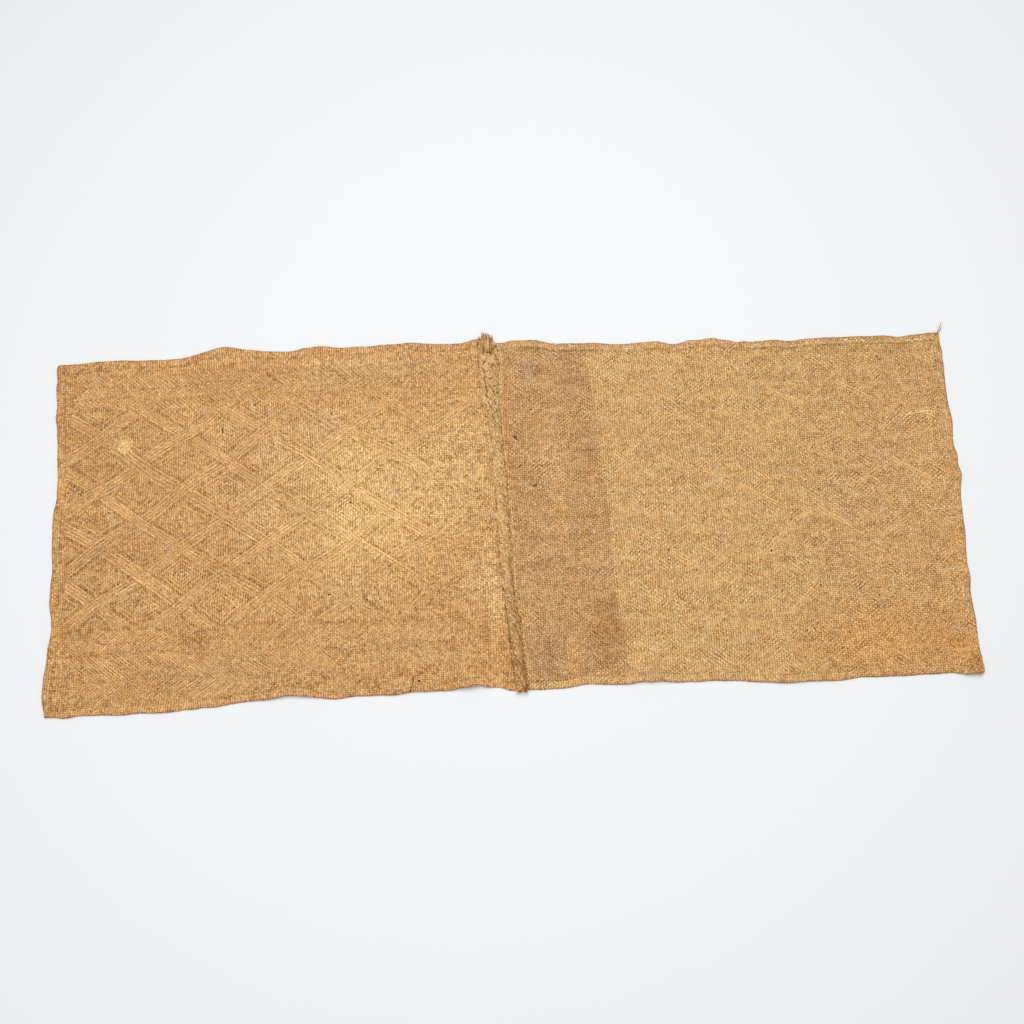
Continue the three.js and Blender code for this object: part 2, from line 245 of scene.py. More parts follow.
@dataclass
class Shape:
    """The points and faces of one mesh, with what its material reads at each point."""

    name: str
    points: Array
    faces: list[tuple[int, ...]]
    tone: Array
    values: dict[str, Array] = field(default_factory=dict)

    def build(self, material: bpy.types.Material, slot: str) -> Piece:
        """Makes the mesh, dresses it, and has it ride on the panel's body.

        Args:
            material: The finish.
            slot: The material slot that the finish belongs to. It is not used.

        Returns:
            The new piece.
        """
        mesh = bpy.data.meshes.new(self.name)
        mesh.from_pydata((self.points * MM).tolist(), [], self.faces)
        mesh.shade_smooth()
        tone = np.concatenate([self.tone, np.ones((len(self.tone), 1))], axis=1)
        mesh.attributes.new("tone", "FLOAT_COLOR", "POINT").data.foreach_set("color", tone.ravel())
        for name, value in self.values.items():
            mesh.attributes.new(name, "FLOAT_VECTOR", "POINT").data.foreach_set("vector", value.ravel())
        mesh.materials.append(material)
        piece = bpy.data.objects.new(self.name, mesh)
        bpy.context.scene.collection.objects.link(piece)
        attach(piece, BODY)
        log.info("%s: %d faces", self.name, len(mesh.polygons))
        return piece


# Finishes


class Nodes:
    """The node tree of one material."""

    # A tone gets no darker than this, and each of its channels follows the brightness by its own power.
    darkest = 0.16
    channel_powers = (0.8, 1.06, 1.38)

    def __init__(self, name: str) -> None:
        """Starts a material that has only its shader and its output."""
        self.material = bpy.data.materials.new(name)
        self.material.use_nodes = True
        self.shader = self.material.node_tree.nodes["Principled BSDF"]

    def add(
        self, kind: str, *values: Any, links: dict[Any, Any] | None = None, **settings: Any
    ) -> Node:
        """Adds a node with its settings and what goes into it.

        Args:
            kind: The node's type, without the words ShaderNode, and for a sum its operation.
            values: A value, a node or a socket for each of the first inputs.
            links: The same for other inputs, by the input's name or number.
            settings: The node's own settings.

        Returns:
            The new node.
        """
        kind, _, operation = kind.partition(" ")
        node = self.material.node_tree.nodes.new("ShaderNode" + kind)
        if operation:
            node.operation = operation
        for name, setting in settings.items():
            setattr(node, name, setting)
        for name, value in (dict(enumerate(values)) | (links or {})).items():
            self.feed(node.inputs[name], value)
        return node

    def feed(self, socket: Socket, value: Any) -> None:
        """Links a node or a socket to an input, or sets the input's value.

        Args:
            socket: The input.
            value: A node, whose first output is meant, a socket, or a plain value.
        """
        if isinstance(value, Node):
            value = value.outputs[0]
        if isinstance(value, Socket):
            self.material.node_tree.links.new(value, socket)
        else:
            socket.default_value = value

    def shade(self, tone: Socket, value: Node) -> Node:
        """Lightens or darkens a raffia tone: dark parts turn browner, pale ones creamier.

        Args:
            tone: The socket to start from.
            value: The brightness, 1 where the tone stays as it is.

        Returns:
            The node with the colour.
        """
        value = self.add("Math MAXIMUM", value, self.darkest)
        shares = [self.add("Math POWER", value, power) for power in self.channel_powers]
        return self.add("VectorMath MULTIPLY", tone, self.add("CombineXYZ", *shares))

    def speckle(self, place: Socket, grain: "Grain") -> Node:
        """Adds one layer of unevenness around 0.

        Args:
            place: The socket with the place on the panel, in metres.
            grain: The layer.

        Returns:
            A node whose value goes from about -0.5 to 0.5.
        """
        inputs = {"Vector": place, "Angle": grain.turn}
        turned = self.add("VectorRotate", links=inputs, rotation_type="Z_AXIS")
        stretch = (1 / (grain.along * MM), 1 / (grain.across * MM), 1)
        scaled = self.add("VectorMath MULTIPLY", turned, stretch)
        inputs = {"Vector": scaled, "Scale": 1.0, "Detail": grain.detail}
        noise = self.add("TexNoise", links=inputs, noise_dimensions="2D")
        return self.add("Math SUBTRACT", noise.outputs["Fac"], 0.5)

    def speckles(
        self, place: Socket, grains: tuple["Grain", ...], value: Node
    ) -> Node:
        """Adds several layers of unevenness to a brightness.

        Args:
            place: The socket with the place on the panel, in metres.
            grains: The layers, each with its weight.
            value: The brightness.

        Returns:
            The uneven brightness.
        """
        for grain in grains:
            layer = self.speckle(place, grain)
            value = self.add("Math MULTIPLY_ADD", layer, grain.weight, value)
        return value

    def shown(self, place: Socket, grain: "Grain", span: Span, most: float = 1.0) -> Node:
        """Makes patches where a layer's values lie in a span, from a share of 0 up to the greatest."""
        return self.add("MapRange", self.speckle(place, grain), *span, 0.0, most)


@dataclass(frozen=True)
class Grain:
    """One layer of unevenness: its size along and across the panel in mm, its detail and its weight."""

    along: float
    across: float
    weight: float = 1.0
    detail: float = 2.0
    turn: float = 0.0


@dataclass(frozen=True)
class RaffiaWeave:
    """Plain weave of hand-split raffia leaf: matt, dry, each thread of its own tone.

    The ribs are the doubled warps, which show as fine lines, and the picks cross them. One rib is
    really two warps, drawn as one because a single one is too fine to show. Sizes are in mm.
    """

    name: str
    rib: float = 2.9
    pick: float = 2.6
    relief: float = 0.5
    # The height of a thread that lies over the next, of one that lies under it and of a rib: how much
    # of it changes along the thread, and its least. Then the height of the weave as a whole.
    over: Span = (0.45, 0.55)
    under: Span = (0.5, 0.3)
    ribbed: Span = (0.2, 0.8)
    mean_height: float = 0.55
    # How far the threads wander from their line, and over what length.
    wander: float = 2.6
    wander_size: float = 6.5
    brightness: float = 1.03
    # How far the threads' height is painted into their brightness: painted highlight on their tops, painted
    # shade in the gaps.
    relief_shade_contrast: float = 0.85
    thread_contrast: float = 0.62
    # The lines inside each lozenge that run parallel to its sides.
    line_pitch: float = 4.1
    line_contrast: float = 0.14
    # The dotted painted shade along both sides of each band, where it steps down to the ground: how far from
    # its middle, how wide and how dark.
    side_at: float = 8.4
    side_wide: float = 1.7
    side_shade: float = 0.5
    dots: Grain = Grain(2.1, 1.9)
    dots_span: Span = (-0.06, 0.1)
    # The worn threads that lean: which way they do, and where they show.
    hatch_pitch: float = 3.7
    hatch_lean: float = 40.0
    hatch_contrast: float = 0.17
    hatch_way: Grain = Grain(24, 19, 1, 1.0, 0.3)
    hatch_way_span: Span = (-0.03, 0.03)
    hatch_place: Grain = Grain(31, 27, 1, 1.0)
    hatch_place_span: Span = (-0.1, 0.12)
    # The patches of greyer and of warmer raffia.
    stains: tuple[tuple[str, Grain], ...] = (
        (GREYED, Grain(15, 19, 1, 3)),
        (ORANGE, Grain(19, 13, 1, 3, 0.4)),
    )
    stains_span: Span = (0.02, 0.3)
    stains_share: float = 0.5
    # The browner band: what it does to each channel, how far its edge's teeth reach and how soft it is.
    band_tint: tuple[float, float, float] = (0.912, 0.872, 0.885)
    band_teeth: Grain = Grain(4.0, 2.6)
    band_teeth_reach: float = 6.0
    band_soft: float = 1.2
    # Dry leaf is matt, with a faint sheen and fine relief of its own.
    roughness: float = 0.82
    specular: float = 0.2
    sheen: float = 0.08
    leaf: Grain = Grain(0.9, 5.0, 1, 3.0)
    leaf_relief: float = 0.5
    grains: tuple[Grain, ...] = (
        Grain(1.3, 4.6, 0.9),
        Grain(4.0, 1.3, 0.65),
        Grain(1.7, 1.7, 0.85),
        Grain(13.0, 16.0, 0.38),
        Grain(70.0, 11.0, 0.34),
    )

    def material(self) -> bpy.types.Material:
        """Builds the finish.

        Returns:
            The material, which reads the cloth's tone, weave, zone and lattice values.
        """
        nodes = Nodes(self.name)
        tone, weave, zone, lattice = (
            nodes.add("Attribute", attribute_name=name).outputs["Vector"]
            for name in ("tone", "weave", "zone", "lattice")
        )
        place = nodes.add("TexCoord").outputs["Object"]
        inputs = {"Vector": place, "Scale": 1 / (self.wander_size * MM), "Detail": 1.0}
        drift = nodes.add("TexNoise", links=inputs, noise_dimensions="2D").outputs["Color"]
        drift = nodes.add("VectorMath MULTIPLY", drift, (self.wander, self.wander, 0))
        weave = nodes.add("VectorMath ADD", weave, drift).outputs[0]
        threads = nodes.add("VectorMath MULTIPLY", weave, (1 / self.rib, 1 / self.pick, 1))
        height = self.height(nodes, threads, zone)
        cell = nodes.add("VectorMath FLOOR", threads)
        random = nodes.add("TexWhiteNoise", cell).outputs["Value"]
        least = self.brightness - self.thread_contrast / 2
        value = nodes.add("Math MULTIPLY_ADD", random, self.thread_contrast, least)
        # Painted highlight where the threads stand high and painted shade where they dip, from the weave's
        # height.
        proud = nodes.add("Math SUBTRACT", height, self.mean_height)
        value = nodes.add("Math MULTIPLY_ADD", proud, self.relief_shade_contrast, value)
        value = nodes.add("Math ADD", value, self.lines(nodes, place, lattice))
        value = nodes.add("Math ADD", value, self.hatch(nodes, place, weave, zone))
        value = nodes.speckles(place, self.grains, value)
        shader = nodes.shader.inputs
        nodes.feed(shader["Base Color"], self.tints(nodes, place, zone, tone, value))
        shader["Roughness"].default_value = self.roughness
        shader["Specular IOR Level"].default_value = self.specular
        shader["Sheen Weight"].default_value = self.sheen
        leaf = nodes.speckle(place, self.leaf)
        surface = nodes.add("Math MULTIPLY_ADD", leaf, self.leaf_relief, height)
        relief = nodes.add("Bump", links={"Height": surface, "Strength": 1.0, "Distance": self.relief * MM})
        nodes.feed(shader["Normal"], relief)
        return nodes.material

    def height(self, nodes: Nodes, threads: Node, zone: Socket) -> Node:
        """Adds the relief of threads that go over and under each other.

        Args:
            nodes: The material.
            threads: The node that counts ribs along and picks across.
            zone: The socket whose second value says how ribbed the weave is.

        Returns:
            A node whose value is the height, from 0 in the gaps to 1.
        """
        inside = nodes.add("SeparateXYZ", nodes.add("VectorMath FRACTION", threads))
        turns = [nodes.add("Math MULTIPLY", inside.outputs[i], math.pi) for i in (0, 1)]
        rib, pick = (nodes.add("Math SINE", turn) for turn in turns)
        kinds = ((pick, rib, self.over), (rib, pick, self.under), (pick, rib, self.ribbed))
        over, under, ribbed = (
            nodes.add("Math MULTIPLY", nodes.add("Math MULTIPLY_ADD", along, *reach), across)
            for along, across, reach in kinds
        )
        white, black = (1, 1, 1, 1), (0, 0, 0, 1)
        chess = nodes.add("TexChecker", threads, white, black, 1.0).outputs["Fac"]
        woven = nodes.add("Mix", links={0: chess, 2: under, 3: over})
        ribness = nodes.add("SeparateXYZ", zone).outputs["Y"]
        return nodes.add("Mix", links={0: ribness, 2: woven, 3: ribbed})

    def lines(
        self, nodes: Nodes, place: Socket, lattice: Socket
    ) -> Node:
        """Adds the lines inside each lozenge that run parallel to its sides, and dots of painted shade along
        each band's sides.

        Args:
            nodes: The material.
            place: The socket with the place on the panel.
            lattice: The socket with the counts of rising and falling bands, and how far they show.

        Returns:
            A node whose value is what the lines add to the brightness.
        """
        inside = nodes.add("VectorMath FRACTION", lattice)
        away = nodes.add("VectorMath SUBTRACT", inside, (0.5, 0.5, 0))
        away = nodes.add("SeparateXYZ", nodes.add("VectorMath ABSOLUTE", away))
        far = nodes.add("Math MAXIMUM", away.outputs["X"], away.outputs["Y"])
        turn = nodes.add("Math MULTIPLY", far, math.tau * LATTICE_PITCH / self.line_pitch)
        wave = nodes.add("Math SINE", turn)
        random = nodes.add("TexWhiteNoise", nodes.add("VectorMath FLOOR", lattice))
        wave = nodes.add("Math MULTIPLY", wave, random.outputs["Value"])
        wave = nodes.add("Math MULTIPLY", wave, 2 * self.line_contrast)
        # The dots are painted shade along both sides of each band.
        from_side = nodes.add("Math SUBTRACT", far, 0.5 - self.side_at / LATTICE_PITCH)
        from_side = nodes.add("Math ABSOLUTE", from_side)
        side = nodes.add("MapRange", from_side, 0.0, self.side_wide / LATTICE_PITCH, 1.0, 0.0)
        dots = nodes.add("Math MULTIPLY", side, nodes.shown(place, self.dots, self.dots_span))
        dots = nodes.add("Math MULTIPLY", dots, -self.side_shade)
        both = nodes.add("Math ADD", wave, dots)
        shown = nodes.add("SeparateXYZ", lattice).outputs["Z"]
        return nodes.add("Math MULTIPLY", both, shown)

    def hatch(
        self, nodes: Nodes, place: Socket, weave: Socket, zone: Socket
    ) -> Node:
        """Adds patches where the worn threads lean one way or the other.

        Args:
            nodes: The material.
            place: The socket with the place on the panel.
            weave: The socket with the place in the weave, in mm.
            zone: The socket whose third value says how far the patches show.

        Returns:
            A node whose value is what the patches add to the brightness.
        """
        lean, turn = math.radians(self.hatch_lean), math.tau / self.hatch_pitch
        waves = []
        for side in (-1, 1):
            normal = (side * math.sin(lean) * turn, math.cos(lean) * turn, 0)
            phase = nodes.add("VectorMath DOT_PRODUCT", weave, normal).outputs["Value"]
            waves.append(nodes.add("Math SINE", phase))
        way = nodes.shown(place, self.hatch_way, self.hatch_way_span)
        wave = nodes.add("Mix", links={0: way, 2: waves[0], 3: waves[1]})
        shown = nodes.shown(place, self.hatch_place, self.hatch_place_span)
        zoned = nodes.add("SeparateXYZ", zone).outputs["Z"]
        shown = nodes.add("Math MULTIPLY", shown, zoned)
        wave = nodes.add("Math MULTIPLY", wave, shown)
        return nodes.add("Math MULTIPLY", wave, self.hatch_contrast)

    def tints(
        self, nodes: Nodes, place: Socket, zone: Socket,
        tone: Socket, value: Node,
    ) -> Socket:
        """Colours the cloth, with patches of greyer and warmer raffia and the browner band.

        Args:
            nodes: The material.
            place: The socket with the place on the panel.
            zone: The socket whose first value is the distance into the band, in mm.
            tone: The socket with the cloth's own tone.
            value: The brightness.

        Returns:
            The colour.
        """
        colour = tone
        for hex_colour, grain in self.stains:
            share = nodes.shown(place, grain, self.stains_span, self.stains_share)
            mixed = {0: share, 6: colour, 7: (*linear(hex_colour), 1)}
            colour = nodes.add("Mix", links=mixed, data_type="RGBA").outputs[2]
        colour = nodes.shade(colour, value)
        teeth = nodes.speckle(place, self.band_teeth)
        inside = nodes.add("SeparateXYZ", zone).outputs["X"]
        inside = nodes.add("Math MULTIPLY_ADD", teeth, self.band_teeth_reach, inside)
        share = nodes.add("MapRange", inside, -self.band_soft, self.band_soft)
        tinted = nodes.add("VectorMath MULTIPLY", colour, self.band_tint)
        return nodes.add("Mix", links={0: share, 6: colour, 7: tinted}, data_type="RGBA").outputs[2]


@dataclass(frozen=True)
class RaffiaFibre:
    """Split raffia leaf in single strands: dry and matt, with fine lines along each strand.

    line is how far apart the lines are, run how long they are, and relief how proud, in mm.
    """

    name: str
    roughness: float = 0.8
    specular: float = 0.2
    contrast: float = 0.5
    line: float = 0.5
    run: float = 9.0
    relief: float = 0.2
    strength: float = 0.5
    brightness: float = 1.0
    grains: tuple[Grain, ...] = (Grain(1.9, 1.9, 1.3), Grain(2.2, 3.4, 0.9))

    def material(self) -> bpy.types.Material:
        """Builds the finish.

        Returns:
            The material, which reads each strand's tone and the way along it.
        """
        nodes = Nodes(self.name)
        tone, along = (
            nodes.add("Attribute", attribute_name=name).outputs["Vector"] for name in ("tone", "along")
        )
        place = nodes.add("TexCoord").outputs["Object"]
        scaled = nodes.add("VectorMath MULTIPLY", along, (1 / self.run, 1 / self.line, 1))
        lines = nodes.add("TexNoise", links={"Vector": scaled, "Scale": 1.0, "Detail": 2.0}).outputs["Fac"]
        least = self.brightness - self.contrast / 2
        value = nodes.add("Math MULTIPLY_ADD", lines, self.contrast, least)
        value = nodes.speckles(place, self.grains, value)
        shader = nodes.shader.inputs
        nodes.feed(shader["Base Color"], nodes.shade(tone, value))
        shader["Roughness"].default_value = self.roughness
        shader["Specular IOR Level"].default_value = self.specular
        height = {"Height": lines, "Strength": self.strength, "Distance": self.relief * MM}
        nodes.feed(shader["Normal"], nodes.add("Bump", links=height))
        return nodes.material


# Cloths


@dataclass(frozen=True)
class Crease:
    """A soft ridge, or a trough where its height is below 0, along a line."""

    path: tuple[Place, ...]
    half: float
    high: float


@dataclass(frozen=True)
class Patch:
    """A place where the cloth has another tone, fading out at its rim."""

    at: Place
    half: Place
    colour: str
    share: float = 1.0
    hard: float = 0.0

    def weight(self, x: Array, y: Array) -> Array:
        """Gives the patch's share, from 0 to 1, at places on the cloth."""
        away = np.hypot((x - self.at[0]) / self.half[0], (y - self.at[1]) / self.half[1])
        return self.share * (1 - ease(away, self.hard, 1.0))


@dataclass
class Cloth:
    """One hemmed raffia cloth, as a thin closed sheet on a fine net.

    side is +1 where the side hem is on the right, and the seam is on the other side.
    """

    name: str
    node: str
    slot: str
    side: int
    top: Edge
    bottom: Edge
    end: Edge
    base: str
    cut: tuple[float, float]
    creases: tuple[Crease, ...]
    patches: tuple[Patch, ...]
    finish: RaffiaWeave
    sway: tuple[Ripple, Ripple] = (Ripple(3, 70, 190, 1.6), Ripple(4, 60, 170, 1.6))
    swell: Ripple = Ripple(5, 60, 170, 0.35)
    # How dark the painted shade is along each hem's inner edge, where the hem steps down: top, bottom and
    # end.
    hem_lines: tuple[float, float, float] = (0.1, 0.1, 0.22)
    hem_line_at: float = HEM_WIDTH + 1.2
    hem_line_half: float = 2.6
    hem_shade_ripple: Ripple = Ripple(6, 18, 90, 0.7)
    hem_shade_span: Span = (0.2, 2.0)
    # How far in from the edge the rim darkens towards brown, and how much: painted shade on the folded edge.
    rim_span: Span = (-1.0, 3.2)
    rim_shade: float = 0.8
    # The cloth swells between these distances from its edges, and a pattern shows between those.
    swell_span: Span = (5.0, 60.0)
    shown_span: Span = (10.0, 16.0)
    shown_share: float = 0.4
    # Where there is no band: a distance well outside one, how ribbed the weave is and how streaky.
    plain_zone: tuple[float, float, float] = (-20.0, 0.3, 0.25)
    # The net that the sheet is made on, its lines near the hems and the seam, and its rounded rim.
    net: float = 2.7
    hem_insets: tuple[float, ...] = (0.8, 2.2, 4.2, 6.4, 8.2, 9.2, 10.6, 12.6)
    seam_insets: tuple[float, ...] = (0.4, 3.0)
    rim: tuple[Place, ...] = ((0.72, 0.7), (1.0, 0.0), (0.72, -0.7))

    def inward(self, x: Array, y: Array) -> tuple[Array, Array, Array]:
        """Measures how far in places lie from the top, bottom and side hems, in mm."""
        return self.top.place(x) - y, y - self.bottom.place(x), self.side * (self.end.place(y) - x)

    def under(self, x: Array, y: Array) -> Array:
        """Gives the height of the cloth's underside, in mm."""
        top, bottom, end = self.inward(x, y)
        lift = self.top.lift(x, top) + self.bottom.lift(x, bottom) + self.end.lift(y, end)
        inner = ease(np.minimum(np.minimum(top, bottom), end), *self.swell_span)
        return lift + np.maximum(0, self.swell.at(x, y)) * inner

    def thick(self, x: Array, y: Array) -> Array:
        """Gives the cloth's thickness, with its hems and what is raised on it, in mm."""
        nearest = np.minimum.reduce(self.inward(x, y))
        hem = HEM_THICK + (CLOTH_THICK - HEM_THICK) * ease(nearest, HEM_WIDTH, HEM_WIDTH + HEM_STEP)
        return hem + self.raised(x, y)

    def raised(self, x: Array, y: Array) -> Array:
        """Gives what stands proud of the plain weave: here, the creases."""
        total = np.zeros(np.shape(x))
        for crease in self.creases:
            total += crease.high * bump(distance_to_path(x, y, crease.path), crease.half)
        return total

    def surface(self, x: Array, y: Array) -> Array:
        """Gives the height of the cloth's upper side, in mm."""
        return self.under(x, y) + self.thick(x, y)

    def tone(self, x: Array, y: Array) -> Array:
        """Works out the cloth's own tone.

        Args:
            x: Places along the panel, in mm.
            y: Places across it.

        Returns:
            Linear colours, one for each place.
        """
        tone = np.broadcast_to(linear(self.base), (*np.shape(x), 3)).copy()
        for patch in self.patches:
            tone += patch.weight(x, y)[..., None] * (linear(patch.colour) - tone)
        nearest = np.minimum.reduce(self.inward(x, y))
        # Painted shade: the rim turns darker brown towards the edge.
        rim = (1 - ease(nearest, *self.rim_span))[..., None]
        tone += self.rim_shade * rim * (linear(RIM_SHADE_BROWN) - tone)
        # A line of painted shade along each hem's inner edge, uneven along its length.
        uneven = np.clip(1 + self.hem_shade_ripple.at(x, y), *self.hem_shade_span)
        for inset, dark in zip(self.inward(x, y), self.hem_lines):
            fold = bump(inset - self.hem_line_at, self.hem_line_half) * dark * uneven
            tone *= 1 - (fold * (nearest > HEM_WIDTH - 2))[..., None]
        return tone

    def zone(self, x: Array, y: Array) -> Array:
        """Gives how far in the browner band a place is, how ribbed and how streaky the weave is there."""
        return np.broadcast_to(self.plain_zone, (*np.shape(x), 3)).copy()

    def lattice(self, x: Array, y: Array) -> Array:
        """Counts the rising and the falling bands of the lattice, and says how far it shows.

        Args:
            x: Places along the panel, in mm.
            y: Places across it.

        Returns:
            The two counts, and a share that stays below 1.
        """
        u = (x - LOZENGE_NODE[0]) / LOZENGE_WIDE
        v = (y - LOZENGE_NODE[1]) / LOZENGE_HIGH
        return np.stack([u - v, u + v, np.clip(self.shown(x, y), 0, ALL_SHOWN)], axis=-1)

    def shown(self, x: Array, y: Array) -> Array:
        """Says how far the lattice shows, from 0 to 1."""
        return self.shown_share * ease(np.minimum.reduce(self.inward(x, y)), *self.shown_span)

    def weave(self, x: Array, y: Array) -> Array:
        """Gives the weave's own places, in mm, which sway a little as threads do."""
        sway_x, sway_y = (ripple.at(x, y) for ripple in self.sway)
        return np.stack([x - sway_x, y - sway_y, np.zeros(np.shape(x))], axis=-1)

    def lines(self, span: float, low: tuple[float, ...], high: tuple[float, ...]) -> tuple[Array, Array]:
        """Spaces the lines of the net over a span, closer near its ends.

        Args:
            span: The nominal distance, in mm.
            low: The distances of lines from the low end.
            high: The distances of lines from the high end.

        Returns:
            Each line's share of the span, and what is added to it.
        """
        count = round((span - low[-1] - high[-1]) / self.net)
        share = np.arange(1, count) / count
        middle = low[-1] + share * (-high[-1] - low[-1])
        shares = np.concatenate([np.zeros(len(low)), share, np.ones(len(high))])
        return shares, np.concatenate([low, middle, -np.array(high[::-1])])

    def grid(self) -> tuple[Array, Array]:
        """Lays out the net, whose outer lines follow the edges.

        Returns:
            The places along and across the panel, as two tables of rows from the bottom up.
        """
        seam_at = float(Seam.MIDDLE.at(np.array(0.0)))
        end_at = (self.end.start[1] + self.end.end[1]) / 2
        share_x, add_x = self.lines(abs(end_at - seam_at), self.seam_insets, self.hem_insets)
        high = (self.top.start[1] + self.top.end[1]) / 2
        low = (self.bottom.start[1] + self.bottom.end[1]) / 2
        share_y, add_y = self.lines(high - low, self.hem_insets, self.hem_insets)
        y = np.repeat((low + share_y * (high - low) + add_y)[:, None], len(share_x), axis=1)
        # Where a line of the net runs depends on those that it crosses, so they settle in a few rounds.
        for _ in range(3):
            inner = Seam.MIDDLE.at(y) + self.side * GAP / 2
            x = inner + share_x * (self.end.place(y) - inner) + self.side * add_x
            below, above = self.bottom.place(x), self.top.place(x)
            y = below + share_y[:, None] * (above - below) + add_y[:, None]
        order = slice(None, None, self.side)
        return x[:, order], y[:, order]

    def build(self) -> Piece:
        """Makes the sheet: an upper and a lower side on the same net, and a rounded rim.

        Returns:
            The new piece.
        """
        x, y = self.grid()
        rows, columns = x.shape
        low, thick = self.under(x, y), self.thick(x, y)
        upper = np.stack([x, y, low + thick], axis=-1).reshape(-1, 3)
        lower = np.stack([x, y, low], axis=-1).reshape(-1, 3)
        index = np.arange(rows * columns).reshape(rows, columns)
        corners = [index[:-1, :-1], index[:-1, 1:], index[1:, 1:], index[1:, :-1]]
        quads = np.stack(corners, axis=-1).reshape(-1, 4).tolist()
        loop = np.concatenate([index[0, :-1], index[:-1, -1], index[-1, :0:-1], index[:0:-1, 0]])
        faces = [tuple(quad) for quad in quads]
        count = len(upper)
        faces += [tuple(count + i for i in reversed(quad)) for quad in quads]
        rings, rim_points = [loop], []
        flat = upper[loop, :2]
        run = unit(np.roll(flat, -1, axis=0) - np.roll(flat, 1, axis=0))
        out = np.stack([run[:, 1], -run[:, 0]], axis=-1)
        middle = (upper[loop, 2] + lower[loop, 2]) / 2
        half = (upper[loop, 2] - lower[loop, 2]) / 2
        for n, (away, rise) in enumerate(self.rim):
            ring = np.column_stack([flat + out * away * self.hem_insets[0], middle + half * rise])
            rings.append(2 * count + n * len(loop) + np.arange(len(loop)))
            rim_points.append(ring)
        rings.append(loop + count)
        for above, below in zip(rings, rings[1:]):
            band = np.stack([above, below, np.roll(below, -1), np.roll(above, -1)], axis=-1)
            faces += [tuple(quad) for quad in band.tolist()]
        points = np.concatenate([upper, lower, *rim_points])
        px, py = points[:, 0], points[:, 1]
        values = {"weave": self.weave(px, py), "zone": self.zone(px, py), "lattice": self.lattice(px, py)}
        shape = Shape(self.name, points, faces, self.tone(px, py), values)
        piece = shape.build(self.finish.material(), self.slot)
        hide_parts(self.node)
        return piece


